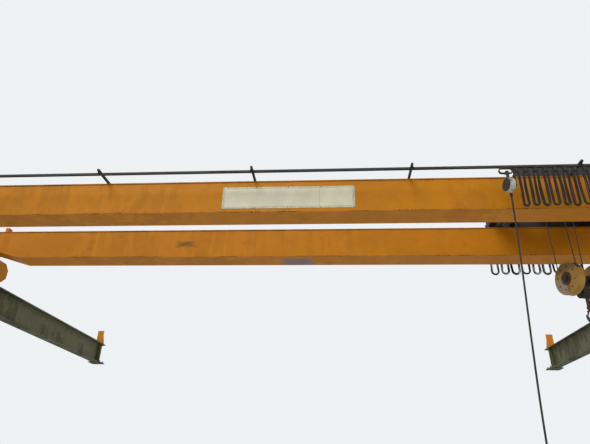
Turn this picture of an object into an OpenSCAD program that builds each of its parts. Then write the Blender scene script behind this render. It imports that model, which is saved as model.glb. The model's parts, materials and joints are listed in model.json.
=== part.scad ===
// Double girder overhead bridge crane on two bays of runway.
// Millimetres, +X along the girders, +Y along the hall, +Z up.
// The origin is the underside of the middle seat of the left runway beam.

/* [Runway] */
// Distance between the runway rails, centre to centre
span = 11760; // [11000:10:14000]
// Length of one runway bay
bay_l = 6000; // [5500:50:8000]
// Number of whole bays on each side
bays = 2; // [2:2:4]
// Depth of the runway beam
beam_h = 490; // [400:10:700]
// Width of the runway beam's flanges
beam_w = 200; // [160:10:300]
// Thickness of the flanges
beam_flange_t = 16; // [10:1:30]
// Thickness of the web
beam_web_t = 10; // [6:1:20]
// Length of a seat plate along the beam
seat_l = 300; // [260:10:500]
// Width of a seat plate
seat_w = 320; // [320:10:500]
// Thickness of a seat plate
seat_t = 20; // [12:1:40]
// Diameter of the seat's bolt holes
seat_hole_d = 26; // [18:1:36]
// Width of the runway rail bar
rail_w = 50; // [40:1:60]
// Height of the runway rail bar
rail_h = 50; // [40:1:80]

/* [End carriages] */
// Place of the bridge along the runway
bridge_y = -200; // [-2000:10:2000]
// Length of an end carriage
carriage_l = 2900; // [2800:10:4000]
// Width of an end carriage
carriage_w = 260; // [220:10:320]
// Height of an end carriage
carriage_h = 360; // [320:10:460]
// Gap between the rail's top and the carriage's underside
carriage_gap = 30; // [20:1:60]
// Distance between the two wheels of a carriage
wheel_base = 2300; // [2200:10:2400]
// Tread diameter of the travel wheels
wheel_d = 200; // [180:5:240]
// Diameter of the wheel axles
axle_d = 60; // [40:1:80]
// Diameter of the rubber buffers
buffer_d = 100; // [60:5:140]
// Length of the rubber buffers
buffer_l = 60; // [40:5:120]

/* [Girders] */
// Distance between the girders, centre to centre
gauge = 1600; // [1500:10:1700]
// Width of a girder's flanges
girder_w = 400; // [300:10:440]
// Depth of a girder in its middle
girder_h = 500; // [420:10:600]
// Thickness of the girder's flanges
girder_flange_t = 12; // [8:1:20]
// Thickness of the girder's webs
girder_web_t = 8; // [6:1:14]
// Depth of a girder over the end carriage
girder_end_h = 326; // [260:1:380]
// Length of the sloping part of the underside
girder_slope_l = 600; // [400:10:1000]
// Number of diaphragms inside a girder
diaphragms = 7; // [3:1:15]
// Width of the crab rail bar
crab_rail_w = 40; // [30:1:50]
// Height of the crab rail bar
crab_rail_h = 30; // [25:1:50]

/* [Sign plate] */
// Length of the bare sign plate
sign_l = 1870; // [1000:10:2400]
// Height of the bare sign plate
sign_h = 345; // [200:5:400]
// Thickness of the bare sign plate
sign_t = 6; // [2:1:10]
// Distance from the middle of the span to the middle of the plate
sign_off = -145; // [-1500:5:1500]

/* [Crab] */
// Distance from the middle of the crab to the right runway rail
crab_end = 1830; // [1500:10:5000]
// Length of the crab frame
crab_l = 1900; // [1860:10:2300]
// Width of the crab's side beams
crab_beam_w = 120; // [115:1:140]
// Height of the crab's side beams
crab_beam_h = 180; // [160:5:220]
// Distance between the crab's wheels along the girder
crab_base = 1500; // [1400:10:1600]
// Tread diameter of the crab's wheels
crab_wheel_d = 160; // [140:5:180]
// Diameter of the rope drum
drum_d = 300; // [240:5:320]
// Length of the grooved part of the rope drum
drum_l = 860; // [800:10:900]
// Height of the drum's axis over the crab's deck
drum_up = 44; // [30:1:120]
// Diameter of the hoist rope
rope_d = 14; // [8:1:18]
// Diameter of the hoist motor
motor_d = 260; // [200:5:300]
// Length of the hoist motor
motor_l = 560; // [400:10:640]

/* [Hook block] */
// Height of the block's sheave axis over the origin
block_z = 130; // [-400:10:400]
// Angle that the hanging block has turned about the vertical
block_turn = 17; // [-30:1:30]
// Pitch diameter of the block's sheaves
sheave_d = 360; // [300:5:380]
// Distance from the middle of the block to a sheave's middle
sheave_off = 220; // [200:1:240]
// Thickness of a sheave at its rim
sheave_t = 56; // [40:1:64]
// Outer diameter of the round sheave covers
cover_d = 470; // [440:5:500]
// Depth of a sheave cover along the axis
cover_t = 116; // [100:1:124]
// Wall of a sheave cover
cover_wall = 6; // [3:1:10]
// Diameter of the block's axle
pin_d = 70; // [50:1:80]
// Diameter of the hook's shank
shank_d = 56; // [40:1:64]
// Radius of the hook's bowl inside
bowl_r = 55; // [40:1:70]
// Distance from the sheave axis down to the middle of the bowl
bowl_down = 520; // [480:5:600]

/* [Festoons] */
// Distance from the near girder's middle out to its cable rail
track_out_near = 480; // [440:5:560]
// Distance from the far girder's middle out to its cable rail
track_out_far = 360; // [330:5:480]
// Width of the C-shaped cable rail
track_w = 30; // [26:1:40]
// Height of the C-shaped cable rail
track_h = 32; // [28:1:40]
// Wall of the cable rail
track_wall = 2; // [1.5:0.5:3]
// Slot of the cable rail
track_slot = 12; // [10:1:16]
// Distance between two arms that carry the rail
arm_pitch = 2180; // [1800:10:2200]
// First arm, from the left runway rail
arm_first = 890; // [600:10:1200]
// Thickness of the square arms
arm_t = 30; // [20:1:40]
// Number of cable loops in a festoon
loops = 9; // [9]
// Distance between the cable carriers in front, parked
pitch_near = 125; // [110:1:140]
// Distance between the cable carriers behind, parked
pitch_far = 172; // [120:1:190]
// Distance from the first cable clamp in front to the right runway rail
near_from_end = 2985; // [2600:5:3400]
// Distance from the first cable clamp behind to the middle of the crab
far_from_crab = 906; // [800:2:1000]
// Clearance of a cable over its saddle
saddle_gap = 1.2; // [1:0.1:3]
// Drop of the loops in front below their saddles
drop_near = 516; // [300:2:700]
// Drop of the loops behind below their saddles
drop_far = 530; // [300:2:700]
// Diameter of the festoon cables
cable_d = 16; // [10:1:20]

/* [Pendant] */
// Diameter of the pendant cable
pendant_d = 22; // [16:1:26]
// Diameter of the round junction piece
junction_d = 185; // [120:5:220]
// Length of the round junction piece
junction_l = 80; // [60:5:120]
// Angle that the hanging junction box has turned about the vertical
junction_turn = 15; // [-30:1:30]
// Height of the junction's middle over the origin
junction_z = 945; // [900:5:1000]
// Length of the pendant station
station_l = 420; // [300:10:500]
// Width of the pendant station
station_w = 84; // [70:1:100]
// Depth of the pendant station
station_t = 74; // [60:1:90]

/* [Hidden] */
$fn = 48;

// Paint colours
runway_green = [0.42, 0.45, 0.38];
crane_orange = [0.80, 0.50, 0.05];
plate_cream = [0.90, 0.88, 0.76];
dark_steel = [0.18, 0.17, 0.16];
bare_steel = [0.48, 0.47, 0.45];
machine_grey = [0.42, 0.44, 0.45];
cover_yellow = [0.85, 0.68, 0.22];
rubber_black = [0.08, 0.08, 0.08];
box_grey = [0.62, 0.63, 0.62];

// Running clearance between pieces that lie on each other or turn in each other
fit = 0.3;
bite = 1;

// Runway heights and lengths
runway_half = bays * bay_l / 2;
beam_z0 = seat_t;
beam_top = beam_z0 + beam_h;
rail_top = beam_top + rail_h;
joint_gap = 6;
stop_l = 220;
stop_w = 160;
stop_plate_t = 20;
seat_hole_x = beam_w + 50;
seat_hole_y = seat_l - 120;

// End carriage
carriage_z0 = rail_top + carriage_gap;
carriage_top = carriage_z0 + carriage_h;
carriage_wall = 10;
carriage_plate = 12;
end_bevel = 100;
axle_z = rail_top + wheel_d / 2;
wheel_tread = rail_w + 10;
wheel_flange = 15;
cap_d = axle_d + 70;
cap_t = 18;
buffer_z = carriage_z0 + carriage_h / 2;

// Girders
girder_top = carriage_top + girder_end_h;
girder_z0 = girder_top - girder_h;
web_inset = 12;
girder_x0 = -carriage_w / 2;
girder_x1 = span + carriage_w / 2;
girder_flat = carriage_w / 2 + 120;
crab_rail_top = girder_top + crab_rail_h;
crab_rail_x0 = 360;
crab_stop_h = 150;
crab_stop_l = 60;

// Crab
crab_x = span - crab_end;
crab_z0 = crab_rail_top + 30;
crab_deck = crab_z0 + crab_beam_h;
crab_axle_z = crab_rail_top + crab_wheel_d / 2;
crab_axle_d = 40;
crab_tread = crab_rail_w + 10;
cross_w = 100;
cross_h = 140;
crab_drive_y = 330;
crab_drive_l = 130;
crab_motor_d = 150;
crab_motor_l = 220;
well = drum_l / 2 + 130;
rope_r = rope_d / 2 + fit;
fall_y = -sheave_d / 2 * cos(block_turn);
drum_y = fall_y + drum_d / 2 + rope_r;
drum_z = crab_deck + drum_up;
flange_d = drum_d + 30;
gearbox_x = drum_l / 2 + 60;
gearbox_l = 240;
motor_off = 430;
motor_y = drum_y + motor_off;
motor_z = drum_z + 40;
bearer_w = 90;

// Hook block, in its own turned frame: u along the axle, v across it
cheek_x = 75;
cheek_t = 20;
crosshead_down = 200;
crosshead_h = 110;
hub_d = 84;
u_dir = [cos(block_turn), sin(block_turn), 0];
v_dir = [-sin(block_turn), cos(block_turn), 0];
// A sheave's rope leaves it at the pitch radius on both sides
function fall_low(s, t) = [crab_x, bridge_y, block_z] + u_dir * (s * sheave_off)
    + v_dir * (t * sheave_d / 2);
equaliser_y = -fall_y;
equaliser_x0 = fall_low(-1, 1)[0] - crab_x;
equaliser_x1 = fall_low(1, 1)[0] - crab_x;
equaliser_r = (equaliser_x1 - equaliser_x0) / 2;
equaliser_x = (equaliser_x1 + equaliser_x0) / 2;
equaliser_z = crab_deck - cross_h / 2;
equaliser_t = 40;

// Festoons
track_z0 = girder_top - track_h;
track_near_y = bridge_y - gauge / 2 - track_out_near;
track_far_y = bridge_y + gauge / 2 + track_out_far;
track_x0 = 480;
track_x1 = span + carriage_w / 2;
arm_in = girder_w / 2 - 60;
saddle_r = 14;
saddle_drop = 58;
saddle_z = track_z0 - saddle_drop;
wrap_r = saddle_r + cable_d / 2 + saddle_gap;
carrier_l = 60;
cheek_gap = 24;
strap_t = 4;
arms = floor((track_x1 - arm_t - arm_first) / arm_pitch) + 1;
first_near = span - near_from_end;
first_far = crab_x - far_from_crab;
near_end = first_near + loops * pitch_near;
far_end = first_far + loops * pitch_far;
box_h = 160;
box_top = saddle_z - 90;

// Pendant
junction_x = first_near - 135;
junction_y = track_near_y - 60;
gland_l = 12;
// Route of the pendant cable, chosen by hand, from the junction down to the station
pendant_route = [[8640, -1540, 820], [8640, -1540, 770], [8638, -1541, 700], [8634, -1542, 600],
    [8629, -1544, 450], [8622, -1546, 270], [8614, -1548, 90], [8604, -1550, -100],
    [8594, -1552, -300], [8582, -1554, -520], [8570, -1556, -740], [8558, -1558, -960],
    [8547, -1560, -1180], [8536, -1562, -1400], [8526, -1564, -1620], [8518, -1566, -1840],
    [8512, -1568, -2040], [8508, -1569, -2240], [8506, -1570, -2400], [8506, -1570, -2560]];
station_at = pendant_route[len(pendant_route) - 1];

// A bar of any section from one point to another
module rod(a, b, d) {
    v = b - a;
    h = norm(v);
    translate(a)
        rotate([0, acos(v[2] / h), atan2(v[1], v[0])])
            cylinder(d = d, h = h);
}

// A cube that is centred in X and Y and stands on z0
module block(w, l, h, at = [0, 0, 0]) {
    translate([at[0] - w / 2, at[1] - l / 2, at[2]])
        cube([w, l, h]);
}

// A cylinder along X or Y, centred on its length
module x_cyl(d, l, at = [0, 0, 0]) {
    translate(at)
        rotate([0, 90, 0])
            cylinder(d = d, h = l, center = true);
}
module y_cyl(d, l, at = [0, 0, 0]) {
    translate(at)
        rotate([90, 0, 0])
            cylinder(d = d, h = l, center = true);
}

// Tube of round rings along points that stay near the XZ plane or near the vertical
function unit(v) = v / norm(v);
function way(p, i) = unit(p[min(i + 1, len(p) - 1)] - p[max(i - 1, 0)]);
module tube(p, d, sides) {
    n = len(p);
    rings = [for (i = [0:n - 1])
        let (t = way(p, i), a = unit(cross(t, [0, 1, 0])), b = cross(t, a))
        for (k = [0:sides - 1])
            p[i] + d / 2 * (cos(k * 360 / sides) * a + sin(k * 360 / sides) * b)];
    sides_faces = [for (i = [0:n - 2], k = [0:sides - 1])
        let (m = (k + 1) % sides)
        [i * sides + k, i * sides + m, (i + 1) * sides + m, (i + 1) * sides + k]];
    start = [for (k = [sides - 1:-1:0]) k];
    finish = [for (k = [0:sides - 1]) (n - 1) * sides + k];
    polyhedron(rings, concat([start], sides_faces, [finish]));
}

// Runway
module i_section() {
    w = beam_w / 2;
    t = beam_web_t / 2;
    f = beam_flange_t;
    r = 20;
    polygon([[-w, 0], [w, 0], [w, f], [t + r, f], [t, f + r], [t, beam_h - f - r],
        [t + r, beam_h - f], [w, beam_h - f], [w, beam_h], [-w, beam_h], [-w, beam_h - f],
        [-t - r, beam_h - f], [-t, beam_h - f - r], [-t, f + r], [-t - r, f], [-w, f]]);
}

module along_y(l) {
    translate([0, l / 2, 0])
        rotate([90, 0, 0])
            linear_extrude(height = l)
                children();
}

module seat(y) {
    difference() {
        block(seat_w, seat_l, seat_t, [0, y, 0]);
        for (sx = [-1, 1], sy = [-1, 1])
            translate([sx * seat_hole_x / 2, y + sy * seat_hole_y / 2, -bite])
                cylinder(d = seat_hole_d, h = seat_t + 2 * bite);
    }
}

module runway_beam() {
    color(runway_green) {
        for (i = [0:bays - 1])
            translate([0, -runway_half + bay_l * (i + 0.5), beam_z0])
                along_y(bay_l - joint_gap)
                    i_section();
        // seats: in the middle of each joint and drawn in by half a seat at the two ends
        for (i = [1:bays - 1])
            seat(-runway_half + bay_l * i);
        for (s = [-1, 1])
            seat(s * (runway_half - joint_gap / 2 - seat_l / 2));
        // web plates across each joint
        for (i = [1:bays - 1], s = [-1, 1])
            block(12, 420, beam_h - 2 * beam_flange_t - 120,
                [s * (beam_web_t / 2 + 6), -runway_half + bay_l * i, beam_z0 + beam_flange_t + 60]);
        // stiffeners over the seats
        for (i = [0:bays], s = [-1, 1])
            let (y = -runway_half + bay_l * i, d = 240)
            if (abs(y + s * d) < runway_half)
                block(beam_w - 10, 12, beam_h - 2, [0, y + s * d, beam_z0 + 1]);
    }
}

module runway_rail() {
    w = rail_w / 2;
    c = 6;
    color(bare_steel)
        translate([0, 0, beam_top])
            along_y(2 * (runway_half - stop_l - 5))
                polygon([[-w, 0], [w, 0], [w, rail_h - c], [w - c, rail_h],
                    [c - w, rail_h], [-w, rail_h - c]]);
}

module runway_end_stops() {
    h = buffer_z + buffer_d / 2 + 30 - beam_top;
    color(crane_orange)
        for (x = [0, span], s = [-1, 1])
            translate([x, s * (runway_half - stop_l), beam_top])
                mirror([0, s < 0 ? 1 : 0, 0]) {
                    translate([-stop_w / 2, 0, 0])
                        cube([stop_w, stop_l - 10, 16]);
                    translate([-stop_w / 2, 0, 0])
                        cube([stop_w, stop_plate_t, h]);
                    for (g = [-1, 1])
                        translate([g * stop_w / 4 - 6, 0, 0])
                            rotate([90, 0, 90])
                                linear_extrude(height = 12)
                                    polygon([[0, 0], [stop_l - 20, 0], [stop_l - 20, 40],
                                        [stop_plate_t + 30, h - 20], [0, h - 20]]);
                }
}

// Bridge
module girder_side(inset, flange) {
    x0 = girder_x0 + inset;
    x1 = girder_x1 - inset;
    a = girder_flat;
    b = a + girder_slope_l;
    polygon([[x0, carriage_top + flange], [a, carriage_top + flange], [b, girder_z0 + flange],
        [span - b, girder_z0 + flange], [span - a, carriage_top + flange],
        [x1, carriage_top + flange], [x1, girder_top - flange], [x0, girder_top - flange]]);
}

module girder(y) {
    half = girder_w / 2 - web_inset;
    color(crane_orange)
        translate([0, y, 0]) {
            // bottom flange follows the sloping ends
            rotate([90, 0, 0])
                translate([0, 0, -girder_w / 2])
                    linear_extrude(height = girder_w)
                        difference() {
                            girder_side(0, 0);
                            translate([0, girder_flange_t])
                                girder_side(-bite, 0);
                            translate([girder_x0 - bite, girder_top - girder_flange_t])
                                square([girder_x1 - girder_x0 + 2 * bite, 2 * girder_flange_t]);
                        }
            translate([girder_x0, -girder_w / 2, girder_top - girder_flange_t])
                cube([girder_x1 - girder_x0, girder_w, girder_flange_t]);
            for (s = [-1, 1])
                translate([0, s * (half - girder_web_t / 2) + girder_web_t / 2, 0])
                    rotate([90, 0, 0])
                        linear_extrude(height = girder_web_t)
                            girder_side(web_inset, girder_flange_t / 2);
            // diaphragms, and the plates that close the two ends
            for (i = [1:diaphragms])
                let (x = girder_flat + girder_slope_l
                    + (span - 2 * (girder_flat + girder_slope_l)) * (i - 1) / (diaphragms - 1))
                translate([x - 3, -half + 1, girder_z0 + girder_flange_t / 2])
                    cube([6, 2 * half - 2, girder_h - girder_flange_t]);
            for (x = [girder_x0 + web_inset, girder_x1 - web_inset - girder_web_t])
                translate([x, -half, carriage_top + girder_flange_t / 2])
                    cube([girder_web_t, 2 * half, girder_end_h - girder_flange_t]);
        }
}

module carriage_outline(inset) {
    y = carriage_l / 2 - inset;
    z0 = carriage_z0 + inset;
    z1 = carriage_top - inset;
    polygon([[-y, z0 + end_bevel], [end_bevel - y, z0], [y - end_bevel, z0], [y, z0 + end_bevel],
        [y, z1 - end_bevel], [y - end_bevel, z1], [end_bevel - y, z1], [-y, z1 - end_bevel]]);
}

module end_carriage(x) {
    color(crane_orange)
        translate([x, bridge_y, 0])
            difference() {
                rotate([90, 0, 90])
                    translate([0, 0, -carriage_w / 2])
                        linear_extrude(height = carriage_w)
                            carriage_outline(0);
                rotate([90, 0, 90])
                    translate([0, 0, carriage_wall - carriage_w / 2])
                        linear_extrude(height = carriage_w - 2 * carriage_wall)
                            carriage_outline(carriage_plate);
                for (s = [-1, 1]) {
                    block(wheel_tread + 4 * wheel_flange, wheel_d + 60, carriage_plate + 2 * bite,
                        [0, s * wheel_base / 2, carriage_z0 - bite]);
                    x_cyl(axle_d + 2 * fit, carriage_w + 2 * bite,
                        [0, s * wheel_base / 2, axle_z]);
                }
            }
}

// A wheel with two flanges on its axle, along X, with a bearing cap at each end
module flanged_wheel(d, tread, flange, axle, caps_at) {
    w = tread / 2;
    f = flange;
    rotate([0, 90, 0])
        rotate_extrude()
            polygon([[0, -caps_at], [axle / 2, -caps_at], [axle / 2, -w - f - 6],
                [axle / 2 + 22, -w - f - 6], [axle / 2 + 22, -w - f],
                [d / 2 + f - 4, -w - f], [d / 2 + f, -w - f + 5], [d / 2 + f, -w - 5],
                [d / 2, -w + 1], [d / 2, w - 1], [d / 2 + f, w + 5], [d / 2 + f, w + f - 5],
                [d / 2 + f - 4, w + f], [axle / 2 + 22, w + f], [axle / 2 + 22, w + f + 6],
                [axle / 2, w + f + 6], [axle / 2, caps_at], [0, caps_at]]);
}

module bridge_wheels() {
    out = carriage_w / 2 + fit;
    color(dark_steel)
        for (x = [0, span], s = [-1, 1])
            translate([x, bridge_y + s * wheel_base / 2, axle_z]) {
                flanged_wheel(wheel_d, wheel_tread, wheel_flange, axle_d, out + cap_t / 2);
                for (k = [-1, 1])
                    x_cyl(cap_d, cap_t, [k * (out + cap_t / 2), 0, 0]);
            }
}

module bridge_buffers() {
    color(rubber_black)
        for (x = [0, span], s = [-1, 1])
            translate([x, bridge_y + s * (carriage_l / 2), buffer_z]) {
                y_cyl(buffer_d + 30, 12, [0, s * 6, 0]);
                y_cyl(buffer_d, buffer_l, [0, s * (buffer_l / 2 + 8), 0]);
            }
}

// Gearmotor on the carriage's inner side, over one wheel; side is +1 towards +X
module travel_drive(x, side) {
    w = 150;
    at = carriage_w / 2 + fit + cap_t + 2;
    color(machine_grey)
        translate([x, bridge_y - wheel_base / 2, 0])
            mirror([side < 0 ? 1 : 0, 0, 0]) {
                translate([at, -90, axle_z - 110])
                    cube([w, 180, 230]);
                x_cyl(170, 8, [at + w + 4, 0, axle_z]);
                // torque plate back to the carriage
                translate([carriage_w / 2 + fit, 100, axle_z + 60])
                    cube([cap_t + 2 + 60, 60, 90]);
                translate([at + 10, 80, axle_z + 60])
                    cube([60, 60, 60]);
                y_cyl(180, 14, [at + w / 2, 96, axle_z + 10]);
                y_cyl(160, 250, [at + w / 2, 220, axle_z + 10]);
                y_cyl(172, 60, [at + w / 2, 370, axle_z + 10]);
                block(90, 120, 50, [at + w / 2, 210, axle_z + 75]);
            }
}

module crab_rail(y) {
    w = crab_rail_w / 2;
    color(bare_steel)
        translate([crab_rail_x0 + crab_stop_l, y, girder_top])
            rotate([90, 0, 90])
                linear_extrude(height = span - 2 * (crab_rail_x0 + crab_stop_l))
                    polygon([[-w, 0], [w, 0], [w, crab_rail_h - 4], [w - 4, crab_rail_h],
                        [4 - w, crab_rail_h], [-w, crab_rail_h - 4]]);
}

module crab_end_stops() {
    color(crane_orange)
        for (x = [crab_rail_x0, span - crab_rail_x0 - crab_stop_l], s = [-1, 1])
            translate([x, bridge_y + s * gauge / 2 - 50, girder_top])
                cube([crab_stop_l, 100, crab_stop_h]);
}

module sign_plate() {
    color(plate_cream)
        translate([span / 2 + sign_off - sign_l / 2,
            bridge_y - gauge / 2 - girder_w / 2 + web_inset - fit - sign_t, girder_z0 + 59])
            cube([sign_l, sign_t, sign_h]);
}

// Festoon rails
module c_section() {
    w = track_w / 2;
    t = track_wall;
    s = track_slot / 2;
    polygon([[-w, 0], [-s, 0], [-s, t], [t - w, t], [t - w, track_h - t], [w - t, track_h - t],
        [w - t, t], [s, t], [s, 0], [w, 0], [w, track_h], [-w, track_h]]);
}

// side is -1 for the front of the near girder and +1 for the back of the far one
module festoon_track(side) {
    y0 = bridge_y + side * gauge / 2;
    track_out = side < 0 ? track_out_near : track_out_far;
    arm_out = track_out + track_w / 2 + 60;
    color(dark_steel) {
        translate([track_x0, y0 + side * track_out, track_z0])
            rotate([90, 0, 90])
                linear_extrude(height = track_x1 - track_x0)
                    c_section();
        for (i = [0:arms - 1])
            translate([arm_first + i * arm_pitch - arm_t / 2, y0, girder_top])
                mirror([0, side < 0 ? 1 : 0, 0]) {
                    translate([0, arm_in, 0])
                        cube([arm_t, arm_out - arm_in, arm_t]);
                    // rail clamp under the arm
                    translate([-10, track_out - track_w / 2 - 8, -14])
                        cube([arm_t + 20, 8 + bite / 2, 14 + bite]);
                    translate([-10, track_out + track_w / 2 - bite / 2, -14])
                        cube([arm_t + 20, 8 + bite / 2, 14 + bite]);
                }
    }
}

// One carrier: a runner inside the rail, a neck through the slot, cheeks and a saddle
module carrier_at(x, y, long = carrier_l) {
    runner = [long, track_w - 2 * track_wall - 1, track_h - 2 * track_wall - 1];
    translate([x, y, 0]) {
        block(runner[0], runner[1], runner[2], [0, 0, track_z0 + track_wall + 0.5]);
        block(long - 20, track_slot - 4, 20, [0, 0, track_z0 - 12]);
        block(48, cheek_gap + 2 * strap_t, 5, [0, 0, track_z0 - 16]);
        for (s = [-1, 1])
            hull() {
                block(48, strap_t, 4, [0, s * (cheek_gap + strap_t) / 2, track_z0 - 16]);
                y_cyl(2 * saddle_r, strap_t, [0, s * (cheek_gap + strap_t) / 2, saddle_z]);
            }
        y_cyl(2 * saddle_r, cheek_gap + 2 * bite, [0, 0, saddle_z]);
    }
}

module near_carrier(k) {
    color(dark_steel)
        carrier_at(first_near + k * pitch_near, track_near_y);
}

module far_carrier(k) {
    color(dark_steel)
        carrier_at(first_far + k * pitch_far, track_far_y);
}

// Route of a festoon cable: over every saddle and round every loop, in the XZ plane
function arc(c, r, a0, a1, n, y) = [for (i = [0:n])
    let (a = a0 + (a1 - a0) * i / n) [c[0] + r * cos(a), y, c[1] + r * sin(a)]];
function loop_route(x0, pitch, drop, y) = concat(
    [for (k = [0:loops - 1]) each concat(
        arc([x0 + k * pitch, saddle_z], wrap_r, 180, 0, 5, y),
        arc([x0 + (k + 0.5) * pitch, saddle_z - drop + pitch / 2 - wrap_r],
            pitch / 2 - wrap_r, 180, 360, 7, y))],
    arc([x0 + loops * pitch, saddle_z], wrap_r, 180, 0, 5, y));

module festoon_cable_near() {
    start = junction_x + junction_l / 2 + gland_l + fit;
    r = 50;
    c = [first_near - wrap_r - r, junction_z + r];
    color(rubber_black)
        tube(concat([[start, track_near_y, junction_z]],
            arc(c, r, 270, 360, 4, track_near_y),
            loop_route(first_near, pitch_near, drop_near, track_near_y),
            [[near_end + wrap_r, track_near_y, box_top + fit]]), cable_d, 8);
}

module festoon_cable_far() {
    color(rubber_black)
        tube(concat([[first_far - wrap_r, track_far_y, box_top + fit]],
            loop_route(first_far, pitch_far, drop_far, track_far_y),
            [[far_end + wrap_r, track_far_y, box_top + fit]]), cable_d, 8);
}

// Small boxes at the fixed cable ends, each on a bar from the girder's web
module festoon_terminal_boxes() {
    web = gauge / 2 + girder_w / 2 - web_inset + fit;
    color(box_grey)
        for (e = [[near_end, -1, track_out_near], [far_end, 1, track_out_far]])
            translate([e[0] + wrap_r + 50, bridge_y, box_top - box_h])
                mirror([0, e[1] < 0 ? 1 : 0, 0]) {
                    block(150, 110, box_h, [0, gauge / 2 + e[2], 0]);
                    translate([-30, web, box_h / 2])
                        cube([60, gauge / 2 + e[2] - 50 - web, 12]);
                    translate([-30, web, box_h / 2 - 60])
                        cube([60, 10, 120]);
                }
}

// Crab, in a frame with its middle at the origin of X and Y
module on_crab() {
    translate([crab_x, bridge_y, 0])
        children();
}

module crab_frame() {
    color(dark_steel)
        on_crab() {
            for (s = [-1, 1])
                difference() {
                    block(crab_l, crab_beam_w, crab_beam_h, [0, s * gauge / 2, crab_z0]);
                    for (e = [-1, 1]) {
                        block(crab_wheel_d + 60, crab_tread + 50, crab_beam_h - 20 + bite,
                            [e * crab_base / 2, s * gauge / 2, crab_z0 - bite]);
                        y_cyl(crab_axle_d + 2 * fit, crab_beam_w + 2 * bite,
                            [e * crab_base / 2, s * gauge / 2, crab_axle_z]);
                    }
                }
            for (x = [-crab_l / 2 + cross_w / 2, -well, well, crab_l / 2 - cross_w / 2])
                difference() {
                    block(cross_w, gauge - crab_beam_w + 2 * bite, cross_h, [x, 0, crab_deck - cross_h]);
                    // channel section, open towards the end of the crab
                    block(cross_w, gauge - crab_beam_w - 60, cross_h - 24,
                        [x + sign(x) * 10, 0, crab_deck - cross_h + 12]);
                }
            // bearer beside the equaliser sheave
            translate([-well, equaliser_y + equaliser_t / 2 + 8, crab_deck - cross_h])
                cube([2 * well, bearer_w, cross_h]);
            // deck plate under the gearbox and the motor
            translate([well - cross_w / 2, -gauge / 2, crab_deck - 10])
                cube([crab_l / 2 - well + cross_w / 2, gauge, 10]);
        }
}

module crab_wheels() {
    out = crab_beam_w / 2 + fit;
    color(dark_steel)
        on_crab()
            for (x = [-1, 1], s = [-1, 1])
                translate([x * crab_base / 2, s * gauge / 2, crab_axle_z]) {
                    rotate([0, 0, 90])
                        flanged_wheel(crab_wheel_d, crab_tread, 12, crab_axle_d, out + 5);
                    for (k = [-1, 1])
                        y_cyl(crab_axle_d + 50, 10, [0, k * (out + 5), 0]);
                }
}

// Cross shaft and gearmotor that drive the two wheels at the crab's left end
module crab_travel_drive() {
    x = -crab_base / 2;
    inner = gauge / 2 - crab_beam_w / 2 - fit - 10;
    box_y = crab_drive_y - crab_drive_l / 2;
    color(machine_grey)
        on_crab()
            translate([x, 0, crab_axle_z]) {
                y_cyl(36, 2 * inner - 0.6);
                block(170, crab_drive_l, 190, [0, crab_drive_y, -70]);
                y_cyl(crab_motor_d, crab_motor_l, [0, box_y - crab_motor_l / 2, 60]);
                y_cyl(crab_motor_d + 10, 50, [0, box_y - crab_motor_l - 20, 60]);
                // foot bar on the cross beam behind
                translate([-crab_l / 2 + cross_w - x + fit, crab_drive_y - 40, 0])
                    cube([x + crab_l / 2 - cross_w - fit - 80, 80, 50]);
            }
}

// Grooved rope drum with end flanges and shaft, along X
module rope_drum() {
    r = drum_d / 2;
    n = 22;
    p = (drum_l / 2 - 40) / n;
    g = 3;
    half = [for (i = [0:n - 1]) each [[40 + i * p, r - g], [40 + (i + 0.5) * p, r]]];
    right = concat([[0, r], [36, r]], half, [[drum_l / 2, r - g], [drum_l / 2, flange_d / 2],
        [drum_l / 2 + 16, flange_d / 2], [drum_l / 2 + 16, 60], [gearbox_x - fit, 60]]);
    left = [for (i = [len(right) - 1:-1:1]) [-right[i][0], right[i][1]]];
    outline = concat(left, right);
    color(bare_steel)
        on_crab()
            translate([0, drum_y, drum_z])
                rotate([0, 90, 0])
                    rotate_extrude()
                        polygon(concat([[0, outline[0][0]]],
                            [for (q = outline) [q[1], q[0]]], [[0, gearbox_x - fit]]));
}

module drum_pedestal() {
    color(machine_grey)
        on_crab()
            translate([-well, drum_y, 0]) {
                h = drum_z - crab_deck;
                x = well - gearbox_x;
                translate([-cross_w / 2, -110, crab_deck])
                    cube([x + cross_w / 2 - fit, 220, 24]);
                difference() {
                    x_cyl(200, x + cross_w / 2 - fit, [(x - cross_w / 2 - fit) / 2, 0, drum_z + 35]);
                    translate([-cross_w, -110, crab_deck - 110])
                        cube([x + 2 * cross_w, 220, 110]);
                }
                translate([-cross_w / 2, -80, crab_deck])
                    cube([x + cross_w / 2 - fit, 160, h + 20]);
            }
}

module hoist_gearbox() {
    l = motor_y - drum_y;
    color(machine_grey)
        on_crab()
            translate([gearbox_x, 0, 0]) {
                // casing round the drum's gear and the motor's pinion
                difference() {
                    hull() {
                        x_cyl(330, gearbox_l, [gearbox_l / 2, drum_y, drum_z + 121]);
                        x_cyl(330, gearbox_l, [gearbox_l / 2, drum_y, drum_z + 60]);
                        x_cyl(260, gearbox_l, [gearbox_l / 2, motor_y, motor_z + 86]);
                        x_cyl(260, gearbox_l, [gearbox_l / 2, motor_y, motor_z + 30]);
                    }
                    translate([-bite, drum_y - l, crab_deck - l])
                        cube([gearbox_l + 2 * bite, 3 * l, l]);
                }
                translate([0, drum_y - 170, crab_deck])
                    cube([gearbox_l + 10, l + 330, 20]);
                // split flange of the casing
                translate([8, drum_y - 185, drum_z + 66])
                    cube([gearbox_l - 16, l + 340, 16]);
            }
}

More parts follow.
